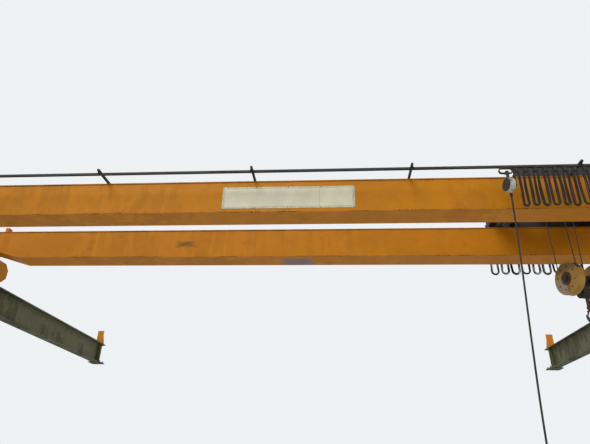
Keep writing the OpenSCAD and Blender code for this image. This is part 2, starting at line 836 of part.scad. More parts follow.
module hoist_motor() {
    x1 = gearbox_x - fit;
    z = motor_z + 58;
    color(machine_grey)
        on_crab() {
            x_cyl(motor_d + 40, 18, [x1 - 9, motor_y, z]);
            x_cyl(motor_d, motor_l, [x1 - 10 - motor_l / 2, motor_y, z]);
            x_cyl(motor_d + 24, 120, [x1 - 10 - motor_l - 50, motor_y, z]);
            block(150, 150, 70, [x1 - 10 - motor_l / 2, motor_y, z + motor_d / 2 - 15]);
            // cooling ribs
            for (i = [0:8])
                x_cyl(motor_d + 18, 8, [x1 - 100 - i * 40, motor_y, z]);
        }
}

// A grooved sheave along its own Z axis
module sheave(pitch_d, t, bore, hub) {
    r = pitch_d / 2 - rope_r;
    rim = pitch_d / 2 + rope_d;
    rotate_extrude()
        polygon([[bore / 2, -t / 2], [hub / 2, -t / 2], [hub / 2, -7], [r - 22, -7],
            [r - 16, -t / 2], [rim, -t / 2], [rim, -t / 2 + 6], [r + 4, -rope_r], [r, -3], [r, 3],
            [r + 4, rope_r], [rim, t / 2 - 6], [rim, t / 2], [r - 16, t / 2], [r - 22, 7],
            [hub / 2, 7], [hub / 2, t / 2], [bore / 2, t / 2]]);
}

module equaliser_sheave() {
    color(bare_steel)
        on_crab()
            translate([equaliser_x, equaliser_y, equaliser_z]) {
                rotate([90, 0, 0])
                    sheave(2 * equaliser_r, equaliser_t, 49, 110);
                y_cyl(50, equaliser_t + 8 - fit + 16, [0, (8 - fit - 16) / 2, 0]);
                y_cyl(80, 14, [0, -equaliser_t / 2 - 8, 0]);
            }
}

// Arm from the crab's side beam, over the girder's edge and round the rail, to the first clamp
module tow_arm() {
    y0 = track_far_y;
    x = first_far;
    t = 40;
    z = crab_z0 + 40;
    out = y0 + track_w / 2 + 75;
    frame_y = bridge_y + gauge / 2 + crab_beam_w / 2 + fit;
    color(dark_steel) {
        carrier_at(x, y0);
        translate([x - t / 2, frame_y, z])
            cube([t, out + t - frame_y, t]);
        translate([x - 60, frame_y, z - 30])
            cube([120, 12, 100]);
        translate([x - t / 2, out, saddle_z - 10])
            cube([t, t, z - saddle_z + 10 + t]);
        // foot that reaches back to the clamp's cheek
        translate([x - t / 2, y0 + cheek_gap / 2 + strap_t - bite, saddle_z - 10])
            cube([t, out - y0 - cheek_gap / 2 - strap_t + 2 * bite, 20]);
        // small terminal housing under the clamp
        translate([x - wrap_r - 58, y0 - 30, box_top - 70])
            cube([80, 60, 70]);
        translate([x - t / 2, y0 + 29, box_top - 60])
            cube([12, out - y0 - 29 + t, 40]);
        translate([x - t / 2, out, box_top - 60])
            cube([12, t, saddle_z - box_top + 55]);
    }
}

module hoist_ropes() {
    color(bare_steel) {
        for (s = [-1, 1])
            rod(fall_low(s, -1) + [0, 0, 2], [fall_low(s, -1)[0], bridge_y + fall_y, drum_z], rope_d);
        for (s = [-1, 1])
            rod(fall_low(s, 1) + [0, 0, 2],
                [fall_low(s, 1)[0], bridge_y + equaliser_y, equaliser_z], rope_d);
    }
}

// Hook block, with the axle along local X and the sheave axis at local z = 0
module on_block() {
    translate([crab_x, bridge_y, block_z])
        rotate([0, 0, block_turn])
            children();
}

module cheek() {
    rotate([90, 0, 90])
        linear_extrude(height = cheek_t)
            difference() {
                hull() {
                    circle(d = 150);
                    translate([0, -crosshead_down])
                        circle(d = 150);
                }
                translate([0, -crosshead_down / 2])
                    circle(d = 44);
            }
}

module block_yoke() {
    axle_half = sheave_off + cover_t / 2 + 4;
    color(dark_steel)
        on_block() {
            difference() {
                union() {
                    for (s = [-1, 1])
                        translate([s * (cheek_x + cheek_t / 2) - cheek_t / 2, 0, 0])
                            cheek();
                    block(2 * cheek_x + 2 * bite, 120, crosshead_h,
                        [0, 0, -crosshead_down - crosshead_h / 2]);
                    x_cyl(60, 2 * (cheek_x + cheek_t + 14), [0, 0, -crosshead_down]);
                }
                translate([0, 0, -crosshead_down - crosshead_h])
                    cylinder(d = shank_d + 2 * fit, h = 2 * crosshead_h);
            }
            x_cyl(pin_d, 2 * axle_half);
            for (s = [-1, 1]) {
                // shoulder between cheek and cover, and the hub cap outside
                x_cyl(pin_d + 40, sheave_off - cover_t / 2 - cheek_x - cheek_t,
                    [s * (sheave_off - cover_t / 2 + cheek_x + cheek_t) / 2, 0, 0]);
                x_cyl(hub_d + 30, 10, [s * (axle_half + 1 + fit), 0, 0]);
                translate([s * (axle_half + 16), 0, 0])
                    rotate([0, 90, 0])
                        cylinder(d = hub_d, h = 24, center = true, $fn = 6);
            }
        }
}

module block_sheaves() {
    color(bare_steel)
        on_block()
            for (s = [-1, 1])
                translate([s * sheave_off, 0, 0])
                    rotate([0, 90, 0]) {
                        sheave(sheave_d, sheave_t, pin_d + 2 * fit, pin_d + 40);
                        // the rope's half turn under the sheave
                        rotate([0, 0, -90])
                            rotate_extrude(angle = 180)
                                translate([sheave_d / 2, 0])
                                    circle(d = rope_d + 1, $fn = 16);
                    }
}

module block_covers() {
    r = cover_d / 2;
    w = cover_wall;
    t = cover_t / 2;
    color(cover_yellow)
        on_block()
            for (s = [-1, 1])
                translate([s * sheave_off, 0, 0])
                    mirror([s < 0 ? 1 : 0, 0, 0])
                        difference() {
                            rotate([0, 90, 0])
                                rotate_extrude($fn = 72)
                                    polygon([[pin_d / 2 + fit, -t + fit], [r - 10, -t + fit],
                                        [r, -t + 10], [r, t - 12], [r - 12, t],
                                        [r - 30, t], [r - 34, t - 5], [pin_d / 2 + 40, t - 5],
                                        [pin_d / 2 + 34, t], [pin_d / 2 + fit, t],
                                        [pin_d / 2 + fit, t - 5 - w], [r - w, t - 5 - w],
                                        [r - w, w - t], [pin_d / 2 + fit, w - t]]);
                            // slot for the ropes
                            block(sheave_t - 8, sheave_d + 60, r, [0, 0, 60]);
                        }
}

// Hook in its own frame: bowl in the XZ plane, swivel axis on Z
hook_profile = [for (i = [0:24])
    let (k = i / 24,
        half = 15 + 22 * sin(30 + 150 * k))
    [100 - 285 * k, bowl_r + half, half]];
module hook() {
    sides = 12;
    n = len(hook_profile);
    ring = [for (q = hook_profile, k = [0:sides - 1])
        let (f = k * 360 / sides,
            r = q[1] + q[2] * cos(f),
            y = 0.72 * q[2] * sin(f) * (1 - 0.22 * cos(f)))
        [r * cos(q[0]), y, r * sin(q[0])]];
    body = [for (i = [0:n - 2], k = [0:sides - 1])
        let (m = (k + 1) % sides)
        [i * sides + k, i * sides + m, (i + 1) * sides + m, (i + 1) * sides + k]];
    first = [for (k = [sides - 1:-1:0]) k];
    last = [for (k = [0:sides - 1]) (n - 1) * sides + k];
    nut_z = crosshead_h / 2 - crosshead_down + fit;
    neck_z = -bowl_down + bowl_r + 20;
    color(dark_steel)
        on_block() {
            translate([0, 0, -bowl_down])
                polyhedron(ring, concat([first], body, [last]));
            translate([0, 0, neck_z])
                cylinder(d = shank_d, h = nut_z + 60 - neck_z);
            translate([0, 0, neck_z - 6])
                cylinder(d1 = 50, d2 = 76, h = 46);
            translate([0, 0, neck_z + 40])
                cylinder(d = 76, h = 14);
            translate([0, 0, nut_z])
                cylinder(d = 104, h = 48);
        }
}

// Spring latch that closes the hook's mouth
module hook_latch() {
    color(bare_steel)
        on_block()
            translate([0, 0, -bowl_down])
                hull() {
                    y_cyl(12, 26, [-29.6, 0, bowl_r + 9.6]);
                    y_cyl(8, 20, [4.5 - bowl_r, 0, 4.4]);
                }
}

// Pendant
module pendant_trolley() {
    ring_x0 = first_near - 220;
    ring_x1 = first_near - 35;
    z1 = track_z0 - 6;
    color(dark_steel) {
        carrier_at(first_near, track_near_y);
        // second runner, and the tow ring between the two
        translate([ring_x0 + 40, track_near_y, 0]) {
            block(carrier_l, track_w - 2 * track_wall - 1, track_h - 2 * track_wall - 1,
                [0, 0, track_z0 + track_wall + 0.5]);
            block(40, track_slot - 4, 20, [0, 0, track_z0 - 12]);
        }
        difference() {
            hull()
                for (x = [ring_x0 + 42, ring_x1 - 42])
                    y_cyl(84, 30, [x, track_near_y, z1 - 42]);
            hull()
                for (x = [ring_x0 + 43, ring_x1 - 43])
                    y_cyl(62, 32, [x, track_near_y, z1 - 41]);
        }
        // tie from the ring to the first clamp
        translate([ring_x1 - 42, track_near_y - 15, z1 - 8])
            cube([58, 30, 8]);
        // hanger of the junction
        translate([junction_x - 20, junction_y - 14, z1 - 90])
            cube([40, track_near_y - junction_y + 29, 6 + bite]);
        translate([junction_x - 20, junction_y - 4, junction_z + junction_d / 2 - 8])
            cube([40, 8, z1 - 84 - junction_z - junction_d / 2 + 8]);
    }
}

module pendant_junction() {
    r = junction_d / 2;
    l = junction_l / 2;
    color(box_grey)
        translate([junction_x, junction_y, junction_z]) {
            difference() {
                rotate([0, 90, junction_turn])
                    rotate_extrude()
                        polygon([[0, -l], [r - 26, -l], [r - 22, -l + 6], [r - 12, -l + 6],
                            [r - 8, -l], [r - 4, -l], [r, -l + 4], [r, l - 8], [r - 8, l], [0, l]]);
                // seat of the hanger
                translate([-20 - fit, -4 - fit, r - 8 - fit])
                    cube([40 + 2 * fit, 8 + 2 * fit, 40]);
            }
            // gland of the pendant cable
            translate([0, 0, -r + 4])
                mirror([0, 0, 1])
                    cylinder(d1 = 40, d2 = 30, h = junction_z - r + 4 - pendant_route[0][2] - fit);
            // gland of the festoon cable
            translate([l / 2, track_near_y - junction_y, 0])
                rotate([0, 90, 0])
                    cylinder(d = cable_d + 10, h = l / 2 + gland_l);
        }
}

module pendant_cable() {
    color(rubber_black)
        tube(pendant_route, pendant_d, 10);
}

module pendant_station() {
    color(cover_yellow)
        translate(station_at - [0, 0, fit]) {
            translate([0, 0, -70])
                cylinder(d1 = 52, d2 = 30, h = 70);
            hull()
                for (s = [-1, 1]) {
                    translate([s * (station_w / 2 - 14), station_t / 2 - 14, -station_l])
                        cylinder(d = 28, h = station_l - 66);
                    translate([s * (station_w / 2 - 14), 14 - station_t / 2, -station_l])
                        cylinder(d = 28, h = station_l - 66);
                }
            // push buttons, in two columns
            for (i = [0:3], s = [-1, 1])
                y_cyl(26, 18, [s * 18, -station_t / 2 - 6, -130 - i * 62]);
            y_cyl(44, 28, [0, -station_t / 2 - 10, -station_l + 44]);
        }
}

runway_beam();  // runway_beam_left
translate([span, 0, 0]) runway_beam();  // runway_beam_right
runway_rail();  // runway_rail_left
translate([span, 0, 0]) runway_rail();  // runway_rail_right
runway_end_stops();
girder(bridge_y - gauge / 2);  // girder_near
girder(bridge_y + gauge / 2);  // girder_far
end_carriage(0);  // end_carriage_left
end_carriage(span);  // end_carriage_right
bridge_wheels();
bridge_buffers();
travel_drive(0, 1);  // travel_drive_left
travel_drive(span, -1);  // travel_drive_right
crab_rail(bridge_y - gauge / 2);  // crab_rail_near
crab_rail(bridge_y + gauge / 2);  // crab_rail_far
crab_end_stops();
sign_plate();
festoon_track(-1);  // festoon_track_near
festoon_track(1);  // festoon_track_far
festoon_terminal_boxes();
crab_frame();
crab_wheels();
crab_travel_drive();
rope_drum();
drum_pedestal();
hoist_gearbox();
hoist_motor();
equaliser_sheave();
tow_arm();
hoist_ropes();
block_yoke();
block_sheaves();
block_covers();
hook();
hook_latch();
pendant_trolley();
pendant_junction();
pendant_cable();
pendant_station();
near_carrier(1);  // near_carrier_1
near_carrier(2);  // near_carrier_2
near_carrier(3);  // near_carrier_3
near_carrier(4);  // near_carrier_4
near_carrier(5);  // near_carrier_5
near_carrier(6);  // near_carrier_6
near_carrier(7);  // near_carrier_7
near_carrier(8);  // near_carrier_8
near_carrier(loops);  // near_end_clamp
far_carrier(1);  // far_carrier_1
far_carrier(2);  // far_carrier_2
far_carrier(3);  // far_carrier_3
far_carrier(4);  // far_carrier_4
far_carrier(5);  // far_carrier_5
far_carrier(6);  // far_carrier_6
far_carrier(7);  // far_carrier_7
far_carrier(8);  // far_carrier_8
far_carrier(loops);  // far_end_clamp
festoon_cable_near();
festoon_cable_far();
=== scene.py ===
"""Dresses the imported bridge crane: its cables, ropes, fasteners and finishes, in metres."""

import json
import math
from itertools import product

import bmesh
import bpy
import numpy as np
from mathutils import Matrix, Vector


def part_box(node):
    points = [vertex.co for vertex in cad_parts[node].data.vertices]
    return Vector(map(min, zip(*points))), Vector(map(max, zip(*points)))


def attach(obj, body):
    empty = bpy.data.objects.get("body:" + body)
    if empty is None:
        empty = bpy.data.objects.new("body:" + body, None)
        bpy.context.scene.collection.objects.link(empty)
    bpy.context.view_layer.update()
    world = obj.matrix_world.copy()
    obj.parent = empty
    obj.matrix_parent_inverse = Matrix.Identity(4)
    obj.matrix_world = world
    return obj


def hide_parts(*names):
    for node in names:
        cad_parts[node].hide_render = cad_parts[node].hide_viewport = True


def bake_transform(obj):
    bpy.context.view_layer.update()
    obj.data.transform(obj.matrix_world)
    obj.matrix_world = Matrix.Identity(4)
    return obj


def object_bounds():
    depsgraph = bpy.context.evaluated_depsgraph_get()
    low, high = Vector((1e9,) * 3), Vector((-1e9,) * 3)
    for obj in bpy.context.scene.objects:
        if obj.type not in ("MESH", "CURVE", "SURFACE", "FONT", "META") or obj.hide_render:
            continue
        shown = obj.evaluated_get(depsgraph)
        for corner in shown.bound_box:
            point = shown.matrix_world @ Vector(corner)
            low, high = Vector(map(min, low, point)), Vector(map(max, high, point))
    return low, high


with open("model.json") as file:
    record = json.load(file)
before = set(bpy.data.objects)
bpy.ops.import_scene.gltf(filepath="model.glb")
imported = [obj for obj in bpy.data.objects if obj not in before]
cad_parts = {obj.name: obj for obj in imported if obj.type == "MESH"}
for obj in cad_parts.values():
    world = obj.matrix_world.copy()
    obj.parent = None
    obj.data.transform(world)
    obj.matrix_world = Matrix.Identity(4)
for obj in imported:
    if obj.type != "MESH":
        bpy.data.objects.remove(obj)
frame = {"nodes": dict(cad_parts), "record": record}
cad_box = [list(corner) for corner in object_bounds()]

bl_info = {
    "name": "Bridge crane dressing",
    "version": (1, 0, 0),
    "blender": (4, 5, 0),
    "location": "View3D > Sidebar > Crane",
    "description": "Cables, ropes, fasteners and finishes round the packed bridge crane",
    "category": "Object",
}

TAU = 2 * math.pi
X, Y, Z = np.eye(3)
BOTH = (-1, 1)

# Each girder and its side of the bridge; each end and its way into the span
GIRDERS = (("near", -1), ("far", 1))
ENDS = (("left", 1), ("right", -1))

# Gap between two pieces that touch
FIT = 0.0003

# The bridge: its middle, half the distance between the girders and between the wheels
BRIDGE_Y = -0.2
HALF_GAUGE = 0.8
HALF_WHEEL_BASE = 1.15
WHEEL_R = 0.115

# From a runway rail's middle to a wheel cap's face, a drive's shaft and its gearcase's face
CAP_FACE = 0.1483
DRIVE_SHAFT = 0.2253
DRIVE_FACE = 0.3083

# The arms that carry a cable rail; the saddle of a cable carrier and how far under its top a
# terminal box lies
FIRST_ARM, ARM_PITCH, ARM_COUNT = 0.890, 2.180, 6
SADDLE_R = 0.014
TERMINAL_DROP = 0.090

# From the crab's middle to its wheels and to the gearbox; the gearbox's depth and shaft's
# height, and the motor's place from the drum
CRAB_WHEEL_X = 0.75
GEAR_X, GEAR_DEPTH, GEAR_SHAFT_Z = 0.490, 0.240, 0.060
MOTOR_FROM_DRUM = (0.430, 0.098)

# The hook block is turned a little; its sheaves' middles and their radius
BLOCK_TURN = math.radians(17)
BLOCK_U = np.array([math.cos(BLOCK_TURN), math.sin(BLOCK_TURN), 0])
BLOCK_V = np.array([-math.sin(BLOCK_TURN), math.cos(BLOCK_TURN), 0])
SHEAVE_OFF, SHEAVE_R = 0.22, 0.18


def box(node):
    """Lowest corner, highest corner and middle of a CAD node, as arrays."""
    low, high = (np.array(corner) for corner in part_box(node))
    return low, high, (low + high) / 2


# Sizes and colours


def length(name, default, description):
    """A size in metres for the panel."""
    return bpy.props.FloatProperty(
        name=name, description=description, default=default, min=0.0005, unit="LENGTH"
    )


def colour(name, default, description):
    """A colour for the panel."""
    return bpy.props.FloatVectorProperty(
        name=name, description=description, default=default, subtype="COLOR", min=0, max=1
    )


class CraneSizes(bpy.types.PropertyGroup):
    """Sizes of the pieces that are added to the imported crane."""

    pendant_d: length("Pendant cable", 0.022, "Diameter of the pendant cable")
    loop_d: length("Loop cables", 0.012, "Diameter of each of the four cables in a loop")
    rope_d: length("Hoist rope", 0.014, "Diameter of the hoist rope")
    lay: length("Rope lay", 0.098, "Length of one turn of the rope's strands")
    seat_bolt: length("Seat bolt", 0.036, "Width across flats of the runway seats' nuts")
    frame_bolt: length("Frame bolt", 0.024, "Width across flats of the frame bolts")
    small_bolt: length("Small bolt", 0.013, "Width across flats of the small bolts")
    weld: length("Weld", 0.007, "Leg of the fillet welds")
    clip_pitch: length("Clip spacing", 0.6, "Distance between two rail clips")


class CraneColours(bpy.types.PropertyGroup):
    """Base colours of the finishes, linear."""

    crane_paint: colour("Girders", (0.63, 0.226, 0.003), "Orange paint of the bridge")
    runway_paint: colour("Runway", (0.130, 0.132, 0.058), "Olive grey paint of the runway")
    machine_paint: colour("Drives", (0.12, 0.13, 0.135), "Grey paint of the drives")
    cover_paint: colour("Covers", (0.52, 0.30, 0.055), "Yellow paint of the sheave covers")
    sign_face: colour("Plate", (0.74, 0.69, 0.47), "Cream paint of the bare plate")
    # The dark steel also colours the junction box's cover, where its darkness is painted shade
    dark_steel: colour("Dark steel", (0.040, 0.034, 0.028), "Sooty paint of arms and frames")
    rail_steel: colour("Rail", (0.16, 0.145, 0.125), "Rolled rail steel")
    rope_steel: colour("Rope", (0.085, 0.078, 0.068), "Greased steel of ropes and drum")
    wheel_steel: colour("Wheels", (0.075, 0.068, 0.06), "Cast wheels")
    hook_steel: colour("Hook", (0.055, 0.05, 0.046), "Forged hook")
    rubber: colour("Rubber", (0.020, 0.016, 0.012), "Cable sheaths and buffers")
    box_plastic: colour("Boxes", (0.55, 0.54, 0.47), "Grey junction boxes")
    station: colour("Station", (0.66, 0.40, 0.015), "Yellow pendant station")
    rust: colour("Rust", (0.12, 0.038, 0.012), "Rust at edges and bolts")
    # The grime colour also paints the shade under the painted steel's downward faces
    dust: colour("Dust", (0.33, 0.30, 0.25), "Dust that lies on top")
    grime: colour("Grime", (0.030, 0.021, 0.012), "Oily dirt that runs down")


# Surfaces


def unit(v):
    """A vector, or each of an array of vectors, brought to length 1."""
    return v / np.maximum(np.linalg.norm(v, axis=-1, keepdims=True), 1e-12)


def basis(axis):
    """Two directions square to an axis, and the axis."""
    c = unit(np.asarray(axis, float))
    a = unit(np.cross(c, X if abs(c[0]) < 0.9 else Y))
    return a, np.cross(c, a), c


def turns(count, start=0.0):
    """Angles at even steps round a full turn."""
    return np.arange(count) * TAU / count + start


def skin(rows, columns):
    """Quads between neighbouring points of a grid whose rows are closed rings."""
    i = np.arange(rows - 1)[:, None]
    j = np.arange(columns)[None, :]
    k = (j + 1) % columns
    corners = [i * columns + j, i * columns + k, (i + 1) * columns + k, (i + 1) * columns + j]
    return np.stack(np.broadcast_arrays(*corners), -1).reshape(-1, 4)


def ringed(rings):
    """A closed shell from rings of points (rows, columns, 3); each end gets one flat face."""
    rows, columns = rings.shape[:2]
    ends = [np.arange(columns)[::-1], (rows - 1) * columns + np.arange(columns)]
    return rings.reshape(-1, 3), [*skin(rows, columns), *ends]


def tube(path, radius, sides, across=Y):
    """Circle carried along a path; its plane stays square to the path.

    A point is path + radius (cos u * a + sin u * b), where a is the path's direction crossed
    with the across direction, and b is square to both. The radius is one number, or one for
    each point."""
    path = np.asarray(path, float)
    along = unit(np.gradient(path, axis=0))
    a = unit(np.cross(along, across))
    b = np.cross(along, a)
    u = turns(sides)[:, None]
    r = np.broadcast_to(radius, (len(path), sides))[..., None]
    return ringed(path[:, None] + r * (np.cos(u) * a[:, None] + np.sin(u) * b[:, None]))


def strand_rope(path, radius, lay, across=Y, sides=30):
    """Wire rope of six strands: a tube whose radius has one lobe for each strand, turning with
    the length.

    The radius is r (0.86 + 0.14 |cos(3 (u - 2 pi s / lay))|), s being the length along the
    path."""
    s = np.r_[0, np.cumsum(np.linalg.norm(np.diff(path, axis=0), axis=1))]
    lobe = np.abs(np.cos(3 * (turns(sides) - TAU * s[:, None] / lay)))
    return tube(path, radius * (0.86 + 0.14 * lobe), sides, across)


def turned(profile, at, axis, sides):
    """Solid of revolution: (radius, height) pairs turned about an axis through a point."""
    profile = np.asarray(profile, float)[..., None, None]
    a, b, c = basis(axis)
    u = turns(sides)[:, None]
    ring = np.cos(u) * a + np.sin(u) * b
    return ringed(np.asarray(at) + profile[:, 0] * ring + profile[:, 1] * c)


def copies(shell, places, axis):
    """Copies of a shell made round +Z, set at each place and turned to the axis."""
    points, faces = shell
    points = points @ np.stack(basis(axis))
    return [(points + np.asarray(place), faces) for place in places]


def heads(size, places, axis=Z):
    """Hexagon heads on washers, at each place, turned to the axis.

    A head's outline is s / 2 / cos(angle from the flat's middle), s being the size across
    flats."""
    u = turns(12)
    hexagon = 0.5 / np.cos((u + TAU / 12) % (TAU / 6) - TAU / 12)
    washer = np.full(12, 0.70)
    rings = [(0.02, washer), (0.12, washer), (0.12, hexagon), (0.55, hexagon),
             (0.66, np.minimum(hexagon, 0.47)), (0.68, np.full(12, 0.2))]
    points = [np.stack([r * np.cos(u), r * np.sin(u), np.full(12, h)], -1) for h, r in rings]
    return copies(ringed(np.array(points) * size), places, axis)


def head_ring(size, at, axis, radius, count, start=0.0, way=1):
    """Heads evenly round a circle about an axis; they face along it, or against it for -1."""
    a, b, _ = basis(axis)
    u = turns(count, start)[:, None]
    return heads(size, np.asarray(at) + radius * (np.cos(u) * a + np.sin(u) * b), axis * way)


def slab(low, high, bevel=0.0):
    """Block between two corners, with its upper edges cut off by the bevel."""
    (x0, y0, z0), (x1, y1, z1) = np.minimum(low, high), np.maximum(low, high)
    e = bevel
    rings = np.array([[(x0 + d, y0 + d, z), (x1 - d, y0 + d, z), (x1 - d, y1 - d, z), (x0 + d, y1 - d, z)]
                      for d, z in ((0, z0), (0, z1 - e), (e, z1))])
    return ringed(rings if e else rings[:2])


def pad(at, half_x, half_y, z0, z1, bevel=0.0):
    """Block centred on a place, between two heights over it."""
    at = np.asarray(at, float)
    return slab(at + [-half_x, -half_y, z0], at + [half_x, half_y, z1], bevel)


def smooth_path(points, steps=4):
    """Catmull-Rom curve through the points: each span is a cubic whose end slopes are half
    the distance between the neighbouring points."""
    p = np.vstack([2 * points[0] - points[1], points, 2 * points[-1] - points[-2]])
    t = (np.arange(steps) / steps)[None, :, None]
    a, b, c, d = (p[i:len(p) - 3 + i, None] for i in range(4))
    curve = 0.5 * (2 * b + (c - a) * t + (2 * a - 5 * b + 4 * c - d) * t**2
                   + (3 * b - a - 3 * c + d) * t**3)
    return np.vstack([curve.reshape(-1, 3), points[-1]])


def fillet(points, leg, side, rise):
    """Weld bead: three-sided section that leans into the corner between two directions, its leg
    longer or shorter by up to 18% along its length."""
    p = np.asarray(points, float)
    i = np.arange(len(p))
    legs = leg * (1 + 0.18 * np.sin(i * 2.1) * np.cos(i * 0.7))[:, None]
    both = side + rise
    return ringed(np.stack([p - 0.0006 * both, p + side * legs, p + both * legs * 0.46,
                            p + rise * legs], 1))


def finned(at, axis, length, radius, height, fins):
    """Motor body: its outline is radius + height * a rounded square wave of fins per turn."""
    a, b, c = basis(axis)
    u = turns(fins * 6)
    r = radius + height * (np.clip(np.cos(u * fins) * 2.2, -1, 1) * 0.5 + 0.5)
    ring = (np.cos(u) * r)[:, None] * a + (np.sin(u) * r)[:, None] * b
    core = unit(ring) * radius * 0.9
    rings = np.array([core, ring * 0.985, ring + c * 0.004, ring + c * (length - 0.004),
                      ring * 0.985 + c * length, core + c * length])
    return ringed(np.asarray(at) + rings)


def hoop(at, axis, radius, wire, sides=28):
    """Torus: a circle of wire thickness, carried round a circle."""
    a, b, c = basis(axis)
    u = turns(sides)[:, None]
    v = turns(10)
    out = np.cos(u) * a + np.sin(u) * b
    rings = (np.asarray(at) + out[:, None] * (radius + wire * np.cos(v))[None, :, None]
             + (wire * np.sin(v))[None, :, None] * c)
    return rings.reshape(-1, 3), list(skin(sides + 1, 10) % (sides * 10))


def fan_cover(at, axis, radius, depth):
    """Pressed cover turned from a stepped profile: seven rings at even steps of the radius,
    in turn 5 mm and 1 mm high, for the cooling air."""
    profile = [(0, depth + 0.004), (radius * 0.20, depth + 0.004)]
    for k, s in enumerate(np.linspace(0.24, 0.84, 7)):
        h = depth + (0.001 if k % 2 else 0.005)
        profile += [(radius * s - 0.001, h), (radius * (s + 0.095), h)]
    profile += [(radius * 0.955, depth), (radius, depth - 0.008), (radius, 0), (0, 0)]
    return turned(profile, at, axis, 36)


def lid(low, high, axis, thick, screw, inset=0.010):
    """Box lid with a screw in each corner, on the face of a box that the axis points to."""
    k = int(np.argmax(np.abs(axis)))
    low, high = np.array(low, float), np.array(high, float)
    face = high[k] if axis[k] > 0 else low[k]
    top = face + axis[k] * thick
    low[k], high[k] = sorted((face, top))
    i, j = (n for n in range(3) if n != k)
    shells = [slab(low, high)]
    for a, b in product((low[i] + inset, high[i] - inset), (low[j] + inset, high[j] - inset)):
        place = np.full(3, top)
        place[[i, j]] = a, b
        shells += heads(screw, [place], axis)
    return shells


def ribbed_sleeve(top, height, r0, r1):
    """Tapered sleeve; its radius goes from r0 to r1 with a sine of one wave for each rib."""
    ribs = 6
    t = np.linspace(0, 1, ribs * 6 + 1)
    r = r0 + (r1 - r0) * t + 0.0016 * np.sin(t * ribs * TAU) * (t < 0.98)
    profile = np.vstack([(r0 * 0.7, 0), np.c_[r, -t * height], (r1 * 0.8, -height - 0.001)])
    return turned(profile, top, Z, 20)


def make(name, shells, slot, body=None, smooth=35, blend=None):
    """One piece from its shells, with outward faces and its finish, riding on its body, or fixed
    where it is made if a blend is given. Edges that turn by more than the smooth angle, in degrees,
    stay sharp."""
    points, faces, start = [], [], 0
    for shell_points, shell_faces in shells:
        points.append(shell_points)
        faces += [list(map(int, face + start)) for face in shell_faces]
        start += len(shell_points)
    mesh = bpy.data.meshes.new(name)
    mesh.from_pydata(np.concatenate(points).tolist(), [], faces)
    work = bmesh.new()
    work.from_mesh(mesh)
    bmesh.ops.remove_doubles(work, verts=work.verts, dist=1e-6)
    bmesh.ops.recalc_face_normals(work, faces=work.faces)
    work.to_mesh(mesh)
    work.free()
    mesh.shade_smooth()
    mesh.set_sharp_from_angle(angle=math.radians(smooth))
    mesh.materials.append(bpy.data.materials[f"{slot}_finish"])
    piece = bpy.data.objects.new(name, mesh)
    bpy.context.scene.collection.objects.link(piece)
    if blend:
        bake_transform(piece)
    else:
        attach(piece, body)
    return piece


# Shader expressions


class Value:
    """A shader socket in an expression; each operator adds one Math node."""

    def __init__(self, nodes, socket):
        self.nodes, self.socket = nodes, socket

    def math(self, operation, *values):
        return self.nodes.node("ShaderNodeMath", {"operation": operation}, dict(enumerate(values)))

    def __add__(self, other):
        return self.math("ADD", self, other)

    def __sub__(self, other):
        return self.math("SUBTRACT", self, other)

    def __rsub__(self, other):
        return self.math("SUBTRACT", other, self)

    def __mul__(self, other):
        return self.math("MULTIPLY", self, other)

    def __truediv__(self, other):
        return self.math("DIVIDE", self, other)

    __radd__ = __add__
    __rmul__ = __mul__

    def least(self, other):
        return self.math("MINIMUM", self, other)

    def most(self, other):
        return self.math("MAXIMUM", self, other)

    def size(self):
        return self.math("ABSOLUTE", self)


class Nodes:
    """The nodes of a material or of the world."""

    def __init__(self, owner):
        owner.use_nodes = True
        self.tree = owner.node_tree
        self.tree.nodes.clear()

    def node(self, kind, settings=None, inputs=None, out=0):
        """Adds a node, sets it and its sockets, and gives one of its outputs."""
        n = self.tree.nodes.new(kind)
        for key, value in (settings or {}).items():
            setattr(n, key, value)
        for key, value in (inputs or {}).items():
            self.feed(n.inputs[key], value)
        return Value(self, n.outputs[out]) if n.outputs else None

    def feed(self, socket, value):
        """Links a value to a socket, or sets the socket to a plain number or colour."""
        if isinstance(value, Value):
            self.tree.links.new(value.socket, socket)
        elif isinstance(value, (tuple, list)) and socket.type == "RGBA":
            socket.default_value = (*value, 1)
        else:
            socket.default_value = value


